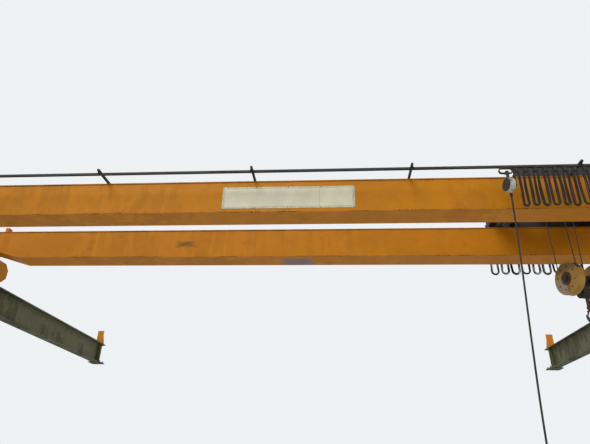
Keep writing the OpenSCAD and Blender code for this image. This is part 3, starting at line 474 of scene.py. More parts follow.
class Shader(Nodes):
    """One finish: its Principled shader and the nodes that lead to it."""

    def __init__(self, name):
        self.material = bpy.data.materials.new(f"{name}_finish")
        super().__init__(self.material)
        surface = self.node("ShaderNodeBsdfPrincipled")
        self.inputs = surface.socket.node.inputs
        self.node("ShaderNodeOutputMaterial", inputs={0: surface})
        self.place = self.node("ShaderNodeTexCoord", out="Object")
        self.x, self.y, self.z = self.split(self.place)

    def split(self, vector):
        """The three parts of a vector."""
        parts = self.node("ShaderNodeSeparateXYZ", inputs={0: vector})
        return [Value(self, out) for out in parts.socket.node.outputs]

    def noise(self, scale, detail=3.0, rough=0.55, stretch=(1, 1, 1)):
        """Soft noise in the object's own coordinates, about 0.5 on average."""
        at = self.node("ShaderNodeMapping", inputs={0: self.place, 3: stretch})
        return self.node(
            "ShaderNodeTexNoise",
            inputs={"Vector": at, "Scale": scale, "Detail": detail, "Roughness": rough},
        )

    def step(self, value, low, high, start=0.0, end=1.0):
        """Goes smoothly from start to end as the value goes from low to high."""
        return self.node(
            "ShaderNodeMapRange",
            {"interpolation_type": "SMOOTHSTEP"},
            {0: value, 1: low, 2: high, 3: start, 4: end},
        )

    def mix(self, factor, a, b):
        """Colour a where the factor is 0, and b where it is 1."""
        return self.node("ShaderNodeMix", {"data_type": "RGBA"}, {0: factor, 6: a, 7: b}, 2)

    def facing(self, way=1):
        """1 where the surface faces up, or down for -1, and 0 where it is steep."""
        normal = self.node("ShaderNodeNewGeometry", out="Normal")
        return self.step(self.split(normal)[2], 0.45 * way, 0.9 * way)

    def edges(self, low, high, width):
        """1 along the edges of a box, falling to 0 within the width."""
        near = []
        for value, a, b in zip((self.x, self.y, self.z), low, high):
            off = (value - float(a + b) / 2).size()
            half = float(b - a) / 2
            near.append(self.step(off, half - min(width, half * 0.8), half))
        x, y, z = near
        return (x * y).most(y * z).most(x * z)

    def finish(self, base, rough, metal=0.0, height=None, distance=None, specular=None):
        """Feeds the surface, with a bump where a height is given, and gives the material."""
        for key, value in (("Base Color", base), ("Roughness", rough), ("Metallic", metal)):
            self.feed(self.inputs[key], value)
        if specular is not None:
            self.feed(self.inputs["Specular IOR Level"], specular)
        if height is not None:
            bump = self.node("ShaderNodeBump", inputs={"Distance": distance, "Height": height})
            self.feed(self.inputs["Normal"], bump)
        return self.material


def times(tint, factor):
    """A colour made darker or lighter."""
    return [min(1, v * factor) for v in tint]


# Finishes; c holds the crane's colours by name


def worn_paint(name, base, c, edges, dirt_and_shade, chips, gloss, specular=0.35, marks=()):
    """Brush-painted steel: blotches, soot and oil that run down, painted shade below, dust on top, chipped
    edges.

    A mark is a soft-edged box (middle, half sizes, colour, amount, softness) in one place."""
    s = Shader(name)
    patches = s.noise(0.8, 6, 0.6)
    fine = s.noise(9.0, 5, 0.65)
    runs = s.noise(7.0, 4, 0.6, (1, 1, 0.10)) * s.step(patches, 0.36, 0.62)
    tone = s.mix(s.step(patches, 0.32, 0.68), times(base, 0.86), times(base, 1.08))
    tone = s.mix(s.step(fine, 0.45, 0.72, 0, 0.22), tone, times(base, 0.62))
    soil = s.step(runs, 0.26, 0.50, 0, 0.75 * dirt_and_shade) + s.step(fine, 0.60, 0.78, 0, 0.35 * dirt_and_shade)
    # Faces that look down are darkened with the grime colour: painted shade on the undersides
    soil = soil + s.facing(-1) * s.step(s.noise(1.7, 5), 0.25, 0.6, 0.12, 0.45) * dirt_and_shade
    tone = s.mix(soil.least(0.85), tone, c["grime"])
    for middle, half, tint, amount, soft in marks:
        x, y, z = (((v - m) / h).size() for v, m, h in zip((s.x, s.y, s.z), middle, half))
        reach = x.most(y).most(z) + (fine - 0.5) * (0.6 + 2.5 * soft)
        tone = s.mix(s.step(reach, 1 + soft, 1 - soft) * amount, tone, tint)
    top = s.facing() * s.step(s.noise(3.0, 5), 0.30, 0.62, 0.25, 0.85)
    tone = s.mix(top, tone, c["dust"])
    grain = s.noise(55.0, 4, 0.7)
    if edges:
        rim = s.edges(*edges, 0.035)
        chip = s.step(grain + 0.22 * rim, 0.74 - 0.10 * chips, 0.78 - 0.10 * chips)
    else:
        chip = s.step(grain, 0.73 - 0.03 * chips, 0.77 - 0.03 * chips)
    chip = chip * s.step(s.noise(2.3, 3), 0.42, 0.60)
    bare = s.mix(s.step(fine, 0.4, 0.6), c["rust"], times(c["rust"], 0.35))
    tone = s.mix(chip, tone, bare)
    rough = (fine * 0.25 + (gloss - 0.12) + soil * 0.25 + top * 0.3 + chip * 0.3).least(0.95)
    height = s.noise(140.0, 2, 0.5) * 0.25 + fine * 0.6 - chip * 0.7
    return s.finish(tone, rough, 0.0, height, 0.0012, specular)


def bare_steel(name, base, c, shine, rusty, lines=(1, 1, 1)):
    """Rolled or drawn steel: polished where it faces up, brown scale and oil elsewhere."""
    s = Shader(name)
    broad = s.noise(3.0, 6, 0.65, lines)
    fine = s.noise(45.0, 5, 0.7, lines)
    tone = s.mix(s.step(broad, 0.35, 0.65), times(base, 0.75), times(base, 1.25))
    spots = s.step(broad * 0.6 + fine * 0.4, 0.56 - 0.16 * rusty, 0.66 - 0.10 * rusty)
    spots = spots * (1 - s.facing() * 0.8)
    tone = s.mix(spots, tone, s.mix(fine, c["rust"], times(c["rust"], 0.45)))
    tone = s.mix(s.step(fine, 0.60, 0.80, 0, 0.5), tone, c["grime"])
    rough = (fine * 0.35 + 0.22 + spots * 0.35).least(0.9)
    return s.finish(tone, rough, (1 - spots) * shine, fine * 0.6 + broad * 0.3, 0.0008)


def sheath(name, c, dusty):
    """Cable rubber: slightly wavy, dusty on top, polished where it is touched."""
    s = Shader(name)
    patches = s.noise(4.0, 4)
    fine = s.noise(70.0, 3, 0.6)
    amount = s.step(patches * 0.6 + fine * 0.4, 0.42, 0.66, 0, dusty) + s.facing() * dusty
    tone = s.mix(amount.least(0.8), c["rubber"], times(c["dust"], 0.6))
    return s.finish(tone, fine * 0.3 + 0.46 + amount * 0.2, 0.0, fine, 0.0004, 0.3)


def moulded(name, c):
    """Moulded plastic: fine grain, hand grease and dust in soft patches."""
    s = Shader(name)
    patches = s.noise(9.0, 5, 0.6)
    grain = s.noise(320.0, 2, 0.5)
    tone = s.mix(s.step(patches, 0.3, 0.7), times(c[name], 0.85), c[name])
    tone = s.mix(s.step(patches + grain * 0.1, 0.56, 0.74, 0, 0.7), tone, c["grime"])
    tone = s.mix(s.facing() * 0.5, tone, c["dust"])
    rough = patches * 0.25 + 0.45 - 0.1
    return s.finish(tone, rough, 0.0, grain * 0.5 + patches * 0.3, 0.0006)


def plate_paint(name, c, low, high):
    """Cream enamel plate: a thin frame line, one divider, and soot that creeps in from the rim."""
    s = Shader(name)
    half_x, _, half_z = (float(v) for v in (high - low) / 2)
    mid_x, _, mid_z = (float(v) for v in (low + high) / 2)
    across, up = (s.x - mid_x).size(), (s.z - mid_z).size()
    frame_in, line_width, divider_at = 0.024, 0.0035, 0.735

    def line(value, at):
        return s.step((value - at).size(), line_width, line_width * 0.55)

    inside = s.step(across, half_x - 0.020, half_x - 0.0245)
    inside_up = s.step(up, half_z - 0.020, half_z - 0.0245)
    border = (line(across, half_x - frame_in) * inside_up).most(line(up, half_z - frame_in) * inside)
    divider = line(s.x, float(low[0] + divider_at * (high[0] - low[0]))) * inside_up
    patches = s.noise(3.0, 6, 0.6)
    fine = s.noise(24.0, 4, 0.65)
    tone = s.mix(s.step(patches, 0.3, 0.7), times(c[name], 0.84), c[name])
    tone = s.mix(border.most(divider) * 0.55, tone, (0.10, 0.11, 0.12))
    rim = s.step(across, half_x - 0.06, half_x).most(s.step(up, half_z - 0.04, half_z))
    soil = (rim * s.step(fine, 0.35, 0.65, 0.0, 0.4) + s.step(fine, 0.62, 0.78, 0, 0.3)).least(0.8)
    tone = s.mix(soil, tone, times(c["grime"], 2.5))
    spots = s.step(s.noise(60.0, 3), 0.74, 0.79)
    tone = s.mix(spots * 0.8, tone, c["rust"])
    return s.finish(tone, patches * 0.2 + 0.22 + soil * 0.3, 0.0, fine * 0.4 - spots * 0.6, 0.0006)


def pendant_plastic(name, c, low):
    """Yellow shell whose push buttons, which stand out in front, are dark, with a red stop."""
    s = Shader(name)
    patches = s.noise(11.0, 5, 0.6)
    grain = s.noise(300.0, 2)
    shell = s.mix(s.step(patches, 0.35, 0.70, 0, 0.8), c["station"], times(c["station"], 0.55))
    button_y, bottom = float(low[1]) + 0.0135, float(low[2])
    button = s.step(s.y, button_y + 0.0008, button_y)
    stop = button * s.step(s.z, bottom + 0.078, bottom + 0.072)
    tone = s.mix(button, shell, (0.02, 0.02, 0.022))
    tone = s.mix(stop, tone, (0.42, 0.018, 0.012))
    soil = s.step(patches * 0.7 + grain * 0.3, 0.50, 0.68, 0, 0.5)
    tone = s.mix(soil, tone, c["grime"])
    return s.finish(tone, patches * 0.3 + 0.25, 0.0, grain * 0.4 + patches * 0.3, 0.0006)


def greased_rope(name, c):
    """Wire rope: grease in the valleys and bright worn crowns."""
    s = Shader(name)
    patches = s.noise(6.0, 4)
    fine = s.noise(220.0, 3, 0.6)
    tone = s.mix(s.step(fine, 0.35, 0.65), times(c[name], 0.45), c[name])
    tone = s.mix(s.step(patches, 0.52, 0.66, 0, 0.6), tone, c["grime"])
    return s.finish(tone, fine * 0.3 + 0.42, s.step(patches, 0.66, 0.5, 0.05, 0.35), fine, 0.0006)


# Dirt with the painted shade under downward faces, chips, roughness and specular level of each painted slot
PAINTED = {
    "runway_paint": (0.75, 0.9, 0.62, 0.35),
    "crane_paint": (0.26, 0.35, 0.50, 0.18),
    "machine_paint": (0.65, 0.5, 0.45, 0.35),
    "dark_steel": (0.6, 0.5, 0.62, 0.35),
    "cover_paint": (1.0, 1.2, 0.5, 0.3),
}
# A sooty smudge on the far girder's web and a pale bluish-grey patch on its underside; on the left
# cover a pale patch at the bottom, a rusty run under the hub and soot at the top
MARKS = {
    "girder_far": (
        ((3.83, 0.412, 1.015), (0.13, 0.05, 0.045), (0.030, 0.021, 0.012), 0.6, 0.7),
        ((5.745, 0.658, 0.776), (0.25, 0.14, 0.02), (0.15, 0.17, 0.21), 0.75, 0.3),
    ),
    "block_covers": (
        ((9.632, -0.176, 0.02), (0.13, 0.11, 0.12), (0.42, 0.35, 0.28), 0.8, 0.45),
        ((9.664, -0.290, 0.02), (0.12, 0.022, 0.10), (0.15, 0.055, 0.018), 0.7, 0.4),
        ((9.66, -0.28, 0.31), (0.25, 0.27, 0.08), (0.050, 0.036, 0.018), 0.6, 0.5),
    ),
}
# Nodes whose own edges are chipped
OWN_EDGES = ("girder_near", "girder_far", "end_carriage_left", "end_carriage_right",
             "hoist_gearbox", "runway_beam_left", "runway_beam_right", "crab_frame")


class CRANE_OT_finishes(bpy.types.Operator):
    """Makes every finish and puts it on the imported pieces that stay."""

    bl_idname = "crane.finishes"
    bl_label = "Finishes"

    def execute(self, context):
        group = context.scene.crane_colours
        c = {key: tuple(getattr(group, key)) for key in CraneColours.__annotations__}
        made = {slot: worn_paint(slot, c[slot], c, None, *PAINTED[slot]) for slot in PAINTED}
        # The welds' paint is the girders' orange darkened to 0.72, painted shade in the corners the welds
        # fill, with more dirt than the girders
        made["weld_paint"] = worn_paint("weld_paint", times(c["crane_paint"], 0.72), c, None, 1.1, 0.9, 0.6)
        steels = (("rail_steel", c["rail_steel"], 0.6, 0.8, (4, 0.3, 4)),
                  ("wheel_steel", c["wheel_steel"], 0.45, 0.5),
                  ("hook_steel", c["hook_steel"], 0.5, 0.45),
                  ("rusted_steel", times(c["rust"], 1.3), 0.15, 1.0))
        for slot, base, *look in steels:
            made[slot] = bare_steel(slot, base, c, *look)
        made["rope_steel"] = greased_rope("rope_steel", c)
        made["buffer_rubber"] = sheath("buffer_rubber", c, 0.5)
        made["cable_rubber"] = sheath("cable_rubber", c, 0.12)
        made["box_plastic"] = moulded("box_plastic", c)
        made["sign_face"] = plate_paint("sign_face", c, *box("sign_plate")[:2])
        made["station_plastic"] = pendant_plastic("station_plastic", c, box("pendant_station")[0])
        slots = {s["node"]: s["material_slot"] for s in frame["record"]["subparts"]}
        for node, piece in frame["nodes"].items():
            slot = slots[node]
            finish = made[slot]
            if node in OWN_EDGES or node in MARKS:
                edges = box(node)[:2] if node in OWN_EDGES else None
                finish = worn_paint(f"{slot}_{node}", c[slot], c, edges, *PAINTED[slot],
                                    MARKS.get(node, ()))
            piece.data.materials.clear()
            piece.data.materials.append(finish)
        return {"FINISHED"}


# Stage

CAMERA_AT = (6.40, -7.29, -2.44)
YAW, PITCH, ROLL = (math.radians(a) for a in (5.20267, 26.52796, 1.75131))
FOCAL_PIXELS, PICTURE_WIDTH, SENSOR = 500, 590, 36
FLOOR_Z = -4.04
FLOOR_REACH = 60.0


def put(name, data, right, up, back, at):
    """Object of a lamp or camera with the given axes and place."""
    thing = bpy.data.objects.new(name, data)
    thing.matrix_world = Matrix(np.vstack([np.c_[right, up, back, at], (0, 0, 0, 1)]).tolist())
    bpy.context.scene.collection.objects.link(thing)
    return thing


def sun(name, strength, towards, angle):
    """Lamp that shines evenly towards a direction, softer with a wider angle."""
    lamp = bpy.data.lights.new(name, "SUN")
    lamp.energy, lamp.angle = strength, math.radians(angle)
    put(name, lamp, *basis(-np.array(towards, float)), (0, 0, 6))


class CRANE_OT_stage(bpy.types.Operator):
    """Camera at the photograph's place, soft lamps, pale world and floor."""

    bl_idname = "crane.stage"
    bl_label = "Stage"

    def execute(self, context):
        scene = context.scene
        scene.view_settings.view_transform = "Standard"
        level = np.array([math.cos(YAW), math.sin(YAW), 0])
        ahead = np.array([-math.sin(YAW), math.cos(YAW), 0])
        forward = ahead * math.cos(PITCH) + Z * math.sin(PITCH)
        up = np.cross(level, forward)
        right = level * math.cos(ROLL) + up * math.sin(ROLL)
        up = up * math.cos(ROLL) - level * math.sin(ROLL)
        lens = bpy.data.cameras.new("camera")
        lens.lens = SENSOR * FOCAL_PIXELS / PICTURE_WIDTH
        lens.clip_end = 400
        scene.camera = put("camera", lens, right, up, -forward, CAMERA_AT)
        self.world(scene)
        sun("key", 1.35, (0.35, 0.75, -0.75), 35)
        sun("fill", 0.55, (-0.45, 0.80, 0.30), 60)
        x, y, _ = np.mean(cad_box, axis=0)
        corners = [(x + i * FLOOR_REACH, y + j * FLOOR_REACH, FLOOR_Z)
                   for i, j in ((-1, -1), (1, -1), (1, 1), (-1, 1))]
        mesh = bpy.data.meshes.new("floor")
        mesh.from_pydata(corners, [], [(0, 1, 2, 3)])
        s = Shader("floor")
        speck = s.step(s.noise(1.2, 5), 0.3, 0.7)
        mesh.materials.append(s.finish(s.mix(speck, (0.725,) * 3, (0.74,) * 3), 0.8))
        floor = bpy.data.objects.new("floor", mesh)
        scene.collection.objects.link(floor)
        return {"FINISHED"}

    def world(self, scene):
        """A soft even light that the camera and reflections see as a paler background."""
        scene.world = bpy.data.worlds.new("studio")
        w = Nodes(scene.world)
        rays = w.node("ShaderNodeLightPath").socket.node.outputs
        camera, glass, gloss = (Value(w, rays[f"Is {kind} Ray"])
                                for kind in ("Camera", "Transmission", "Glossy"))
        pale = w.node("ShaderNodeBackground", inputs={0: (0.86, 0.88, 0.90)})
        soft = w.node("ShaderNodeBackground", inputs={0: (0.92, 0.96, 1.0), 1: 0.50})
        both = w.node("ShaderNodeMixShader", inputs={0: camera.most(glass).most(gloss), 1: soft, 2: pale})
        w.node("ShaderNodeOutputWorld", inputs={0: both})


# Pendant and festoons

JUNCTION = np.array([8.640, -1.540, 0.945])
JUNCTION_TURN = math.radians(15)
PENDANT_ROUTE = np.array([
    (8.640, -1.540, 0.820), (8.640, -1.540, 0.770), (8.638, -1.541, 0.700),
    (8.634, -1.542, 0.600), (8.629, -1.544, 0.450), (8.622, -1.546, 0.270),
    (8.614, -1.548, 0.090), (8.604, -1.550, -0.100), (8.594, -1.552, -0.300),
    (8.582, -1.554, -0.520), (8.570, -1.556, -0.740), (8.558, -1.558, -0.960),
    (8.547, -1.560, -1.180), (8.536, -1.562, -1.400), (8.526, -1.564, -1.620),
    (8.518, -1.566, -1.840), (8.512, -1.568, -2.040), (8.508, -1.569, -2.240),
    (8.506, -1.570, -2.400), (8.506, -1.570, -2.560)])


class CRANE_OT_pendant(bpy.types.Operator):
    """Pendant cable with its sleeves, the trim of the station, and the junction box's cover, whose dark
    colour is painted shade.
    """

    bl_idname = "crane.pendant"
    bl_label = "Pendant"

    def execute(self, context):
        thick = context.scene.crane_sizes.pendant_d
        path = smooth_path(PENDANT_ROUTE)
        cable = make("pendant_cable_line", [tube(path, thick / 2, 14)], "cable_rubber", "pendant", 60)
        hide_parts("pendant_cable")
        top, end = PENDANT_ROUTE[0], PENDANT_ROUTE[-1]
        sleeves = [ribbed_sleeve(top + Z * 0.004, 0.055, 0.0165, 0.0125),
                   ribbed_sleeve(end + Z * 0.052, 0.055, 0.0120, 0.0165)]
        make("pendant_sleeves", sleeves, "cable_rubber", "pendant", 60)
        self.station(end)
        # The junction box's left face gets a dark cover: painted shade on that face
        make("junction_trim", self.junction_trim(), "dark_steel", "pendant")
        return {"FINISHED"}

    def station(self, end):
        """A collar round each push button, a larger one round the stop, and six screws."""
        low, high, _ = box("pendant_station")
        front = low[1] + 0.0145
        first_row, row, column = end[2] - 0.1303, 0.062, 0.018
        small = [(0.0135, 0), (0.0175, 0), (0.0172, 0.0035), (0.0150, 0.0050), (0.0135, 0.0045)]
        large = [(0.0225, 0), (0.0270, 0), (0.0262, 0.0040), (0.0225, 0.0055)]
        collars = [turned(small, (end[0] + side * column, front, first_row - i * row), -Y, 28)
                   for i, side in product(range(4), BOTH)]
        collars.append(turned(large, (end[0], front, low[2] + 0.044), -Y, 36))
        make("station_collars", collars, "buffer_rubber", "pendant")
        levels = (low[2] + 0.014, high[2] - 0.088, first_row - 1.5 * row)
        places = [(end[0] + dx, front, z) for dx, z in product((-0.030, 0.030), levels)]
        make("station_screws", heads(0.008, places, -Y), "rope_steel", "pendant")

    def junction_trim(self):
        """Cover with a raised rim and screws, on the face that looks to the left; its dark colour is
        painted shade on that face.
        """
        face = np.array([-math.cos(JUNCTION_TURN), -math.sin(JUNCTION_TURN), 0])
        at = JUNCTION + face * 0.0403
        profile = [(0, 0), (0.0870, 0), (0.0885, 0.003), (0.0850, 0.0075), (0.0700, 0.0075),
                   (0.0660, 0.0045), (0.0300, 0.0045), (0.0280, 0.0075), (0, 0.0080)]
        screws = head_ring(0.011, at + face * 0.0072, face, 0.0775, 6, 0.3)
        return [turned(profile, at, face, 40), *screws]


# A drop so long that a bundle along a short path doesn't slacken
NEVER_SLACK = 1e3


def wrap_radius(d):
    """Radius of a bundle's middle over a saddle."""
    return SADDLE_R + 0.0005 + d


def loop_half(first, pitch, saddle, y, drop, wrap, k, rising, sway):
    """Centre line of half a hanging loop, with the quarter turn over its saddle.

    From the saddle's crown a quarter circle of radius w leads to a plumb strand, which ends
    in a quarter circle of radius (pitch / 2 - w) at the bottom, where the two halves overlap
    a little. A sine of the depth bows the strand along the rail, and the square of a sine
    sways it to one side."""
    bend = pitch / 2 - wrap
    overlap, bow, narrowest = 0.16, 0.010, 0.03
    x0 = first + k * pitch
    u = np.linspace(0, math.pi / 2, 8)
    over = np.stack([x0 + wrap * np.sin(u), saddle + wrap * np.cos(u)], -1)
    down = np.linspace(0, 1, 12)[1:-1, None] * np.array([[0, bend - drop]]) + [x0 + wrap, saddle]
    v = np.linspace(math.pi, 1.5 * math.pi + overlap, 10)
    under = np.stack([x0 + pitch / 2 + bend * np.cos(v), saddle - drop + bend + bend * np.sin(v)], -1)
    line = np.vstack([over, down, under])
    depth = np.clip((saddle - line[:, 1]) / drop, 0, 1)
    line[:, 0] += bow * np.sin(math.pi * depth) * np.sin(1.7 * k + 1) * (bend > narrowest)
    if rising:
        line[:, 0] = 2 * x0 + pitch - line[:, 0]
    return np.stack([line[:, 0], y + sway * np.sin(depth * math.pi / 2) ** 2, line[:, 1]], -1)


def bundle(path, d, top, drop, seed=0.0):
    """Four cables in two layers; the two inner ones are shorter and hang inside the others.

    Cable j runs at path + n (+-d) (0.5 + e_j sin(pi depth) + f_j depth^2) + y (+-d) (0.525 +
    0.2 sin(pi depth)), where n is square to the path in the loop's plane. e and f differ from
    cable to cable, and f is 0 for the outer two."""
    normal = unit(np.cross(unit(np.gradient(path, axis=0)), Y))
    depth = np.clip((top - path[:, 2:]) / drop, 0, 1)
    swing = np.sin(math.pi * depth)
    shells = []
    for j, (layer, side) in enumerate(product(BOTH, BOTH)):
        wave = 0.5 + 0.5 * math.sin(2.7 * j + 1.9 * seed + 0.5)
        slack = 0.5 + 0.5 * math.sin(1.7 * j + 2.3 * int(seed))
        room = 0.70 * wave * swing + 0.90 * slack * depth**2 if layer > 0 else 0.18 * wave * swing
        line = path + normal * layer * d * (0.5 + room) + Y * side * d * (0.525 + 0.2 * swing)
        shells.append(tube(line, d / 2, 9))
    return shells


class CRANE_OT_festoons(bpy.types.Operator):
    """Hanging cable loops of both festoons, each made in two halves that hang between two carriers."""

    bl_idname = "crane.festoons"
    bl_label = "Festoons"

    def execute(self, context):
        d = context.scene.crane_sizes.loop_d
        self.festoon("near", "pendant", d)
        self.festoon("far", "crab", d)
        return {"FINISHED"}

    def festoon(self, side, lead, d):
        """The loops and both fixed ends of one festoon, and a clamp over each saddle."""
        first_low, _, one = box(f"{side}_carrier_1")
        pitch = box(f"{side}_carrier_2")[2][0] - one[0]
        first = one - X * pitch
        first[2] = first_low[2] + SADDLE_R
        count = sum(name.startswith(f"{side}_carrier_") for name in frame["nodes"])
        bodies = [lead, *(f"{side}_carrier_{k + 1}" for k in range(count)), f"{side}_end_clamp"]
        node = f"festoon_cable_{side}"
        depth = first[2] - (box(node)[0][2] + 0.010)
        pieces = self.loops(side, bodies, first, pitch, depth, d)
        tail, lead_in = self.fixed_ends(side, first, first + X * pitch * (len(bodies) - 1), d)
        for name, path, body in (("tail", tail, bodies[-1]), ("lead_in", lead_in, lead)):
            shells = bundle(path, d, first[2], NEVER_SLACK)
            pieces.append(make(f"{side}_{name}", shells, "cable_rubber", body, 60))
        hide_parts(node)
        top = wrap_radius(d) + d
        for k, body in enumerate(bodies):
            at = first + X * k * pitch
            clamp = [pad(at, 0.013, 0.0135, top + FIT, top + 0.0026, 0.0006)]
            for s in BOTH:
                clamp += heads(0.011, [at + [0, s * 0.0162, -0.001]], Y * s)
            make(f"{side}_clamp_{k}", clamp, "rope_steel", body)

    def loops(self, side, bodies, first, pitch, depth, d):
        """Both halves of each loop, a little uneven in depth and sway from loop to loop."""
        x, y, saddle = first
        pieces = []
        for k, pair in enumerate(zip(bodies, bodies[1:])):
            shorter = 0.022 * (1 + math.sin(2.3 * k + 0.6)) / 2 * (k % 8 != 0)
            drop = depth * (1 - shorter)
            sway = 0.012 * math.sin(2.9 * k + 0.4)
            shape = (x, pitch, saddle, y, drop, wrap_radius(d), k)
            top, bottom = (0, 0, saddle), (0, 0, saddle - 2 * drop)
            falling = bundle(loop_half(*shape, False, sway), d, saddle, drop, k)
            rising = bundle(loop_half(*shape, True, sway)[::-1], d, saddle, drop, k + 0.5)
            for way, shells, ends in (("down", falling, (top, bottom)), ("up", rising, (bottom, top))):
                pieces.append(make(f"{side}_loop_{k + 1}_{way}", shells, "cable_rubber",
                                   blend=(*pair, *ends), smooth=60))
        return pieces

    def fixed_ends(self, side, first, last, d):
        """Centre lines from the last saddle to its terminal box, and up to the first saddle.

        Each has a quarter turn over its saddle. The near one starts at the pendant's junction
        box and bends up, and the far one comes straight up from the box on the tow arm."""
        wrap = wrap_radius(d)
        y, saddle = first[1:]
        u = np.linspace(0, math.pi / 2, 8)
        arc = np.stack([wrap * np.sin(u), 0 * u, wrap * np.cos(u)], -1)
        box_top = saddle - TERMINAL_DROP - 0.004
        down = [(last[0] + wrap, y, z) for z in np.linspace(saddle, box_top, 5)[1:]]
        tail = np.vstack([arc + last, down])
        x = first[0] - wrap
        if side == "near":
            r = 0.045
            foot = JUNCTION[2] + r
            v = np.linspace(1.5 * math.pi, TAU, 9)
            bend = np.stack([x - r + r * np.cos(v), y + 0 * v, foot + r * np.sin(v)], -1)
            start = [JUNCTION + [0.048, y - JUNCTION[1], 0], bend]
            rise = np.linspace(foot, saddle, 8)[1:]
        else:
            start = []
            rise = np.linspace(box_top, saddle, 6)
        over = (arc * [-1, 1, 1])[::-1][1:] + first
        return tail, np.vstack([*start, [(x, y, z) for z in rise], over])


# Hoist ropes


class CRANE_OT_ropes(bpy.types.Operator):
    """Four rope falls, the turns on the drum and the rope over the equaliser sheave."""

    bl_idname = "crane.ropes"
    bl_label = "Ropes"

    def execute(self, context):
        sizes = context.scene.crane_sizes
        r, lay = sizes.rope_d / 2, sizes.lay
        block = box("crab_frame")[2]
        block[2] = box("block_sheaves")[2][2]
        drum, equaliser = box("rope_drum")[2], box("equaliser_sheave")[2]
        falls, ends = [], []
        k = np.linspace(0, 1, 110)[:, None]
        for s, (t, top_z) in product(BOTH, ((-1, drum[2]), (1, equaliser[2]))):
            foot = block + BLOCK_U * s * SHEAVE_OFF + BLOCK_V * t * SHEAVE_R
            top = np.array([foot[0], block[1] + t * SHEAVE_R * BLOCK_V[1], top_z])
            falls.append(strand_rope(foot * (1 - k) + top * k, r * 1.04, lay))
            ends.append(top)
        # The falls run between the crab and the hook block
        line = make("rope_falls", falls, "rope_steel", smooth=80,
                    blend=("crab", "hook_block", (0, 0, 1.40), (0, 0, 0.20)))
        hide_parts("hoist_ropes")
        self.drum_turns(drum, ends[::2], block[0], r * 1.02, lay)

        # Half a circle over the equaliser sheave, from one fall to the other
        a = np.linspace(math.pi, 0, 60)
        radius = abs(ends[1][0] - ends[3][0]) / 2
        arc = np.stack([radius * np.cos(a), 0 * a, radius * np.sin(a)], -1)
        over = (ends[1] + ends[3]) / 2 + arc
        make("equaliser_rope", [strand_rope(over, r * 1.02, lay)], "rope_steel", "crab", 80)
        return {"FINISHED"}

    def drum_turns(self, drum, tops, crab_x, r, lay):
        """Helices from the falls out to the drum's flanges, each held by two clamps at its end."""
        turn_r, pitch, half_length = 0.157, 0.0177, 0.424
        wound, clamps = [], []
        for top in tops:
            side = math.copysign(1, top[0] - crab_x)
            far = drum[0] + side * half_length
            count = abs(far - top[0]) / pitch
            phi = np.linspace(0, count * TAU, int(count * 30))
            helix = np.stack([top[0] + side * pitch * phi / TAU, drum[1] - turn_r * np.cos(phi),
                              drum[2] + turn_r * np.sin(phi)], -1)
            wound.append(strand_rope(helix, r, lay, X, 18))
            for a in (phi[-1] - 0.25, phi[-1] + 0.25):
                out = np.array([0, -math.cos(a), math.sin(a)])
                place = np.array([far - side * 0.004, drum[1], drum[2]]) + out * (turn_r + 0.0065)
                clamps.append(turned([(0, 0), (0.021, 0), (0.019, 0.009), (0, 0.009)], place, out, 8))
                clamps += heads(0.017, [place + out * 0.0085], out)
        make("drum_turns", wound, "rope_steel", "crab", 80)
        make("rope_end_clamps", clamps, "dark_steel", "crab")


# Fasteners and fittings


class CRANE_OT_runway(bpy.types.Operator):
    """Nuts of the runway's seats, bolts and welds of its splices, and the rails' clips."""

    bl_idname = "crane.runway"
    bl_label = "Runway fasteners"

    def execute(self, context):
        sizes = context.scene.crane_sizes
        for side, _ in ENDS:
            _, high, (x, _, _) = box(f"runway_beam_{side}")
            self.seats(side, x, high[1] - 0.150, sizes.seat_bolt)
            self.splice_bolts(side, x, sizes.frame_bolt)
            self.clips(side, x, high[2], sizes.clip_pitch)
            self.splice_welds(side, x)
        return {"FINISHED"}

    def seats(self, side, x, end, size):
        """Four nuts with their studs on each seat, at both ends of a beam and in its middle."""
        nuts = []
        stud = [(0, 0), (0.012, 0), (0.012, 0.034), (0.010, 0.036), (0, 0.036)]
        for y, dx, dy in product((-end, 0.0, end), (-0.125, 0.125), (-0.09, 0.09)):
            at = np.array([x + dx, y + dy, 0.020])
            nuts += heads(size, [at])
            nuts.append(turned(stud, at + Z * 0.012, Z, 12))
        make(f"seat_nuts_{side}", nuts, "rail_steel", "runway")

    def splice_bolts(self, side, x, size):
        """Six bolts in each of three rows, on both sides of a beam's splice."""
        bolts = []
        for s in BOTH:
            holes = product((-0.165, -0.105, -0.045, 0.045, 0.105, 0.165), (0.150, 0.235, 0.320))
            bolts += heads(size, [(x + s * 0.017, y, z) for y, z in holes], X * s)
        make(f"splice_bolts_{side}", bolts, "runway_paint", "runway")

    def clips(self, side, x, top, pitch):
        """Clips on both sides of a rail at even steps, each a foot, a nose and a bolt."""
        low, high, _ = box(f"runway_rail_{side}")
        count = int((high[1] - low[1] - 0.3) / pitch) + 1
        clips = []
        for s, y in product(BOTH, (np.arange(count) - (count - 1) / 2) * pitch):
            foot = np.array([x + s * 0.050, y, top])
            nose = np.array([x + s * 0.034 + 0.00175, y, top])
            clips.append(pad(foot, 0.022, 0.028, FIT, 0.012, 0.002))
            clips.append(pad(nose, 0.01025, 0.022, 0.010, 0.022, 0.003))
            clips += heads(0.020, [foot + [s * 0.006, 0, 0.012]])
        make(f"rail_clips_{side}", clips, "rail_steel", "runway")

    def splice_welds(self, side, x):
        """Upright welds along both ends of the splice's plates."""
        beads = []
        for s, t in product(BOTH, BOTH):
            line = [(x + s * 0.005, t * 0.2115, z) for z in np.linspace(0.100, 0.430, 16)]
            beads.append(fillet(line, 0.006, X * s, Y * t))
        make(f"splice_welds_{side}", beads, "runway_paint", "runway")


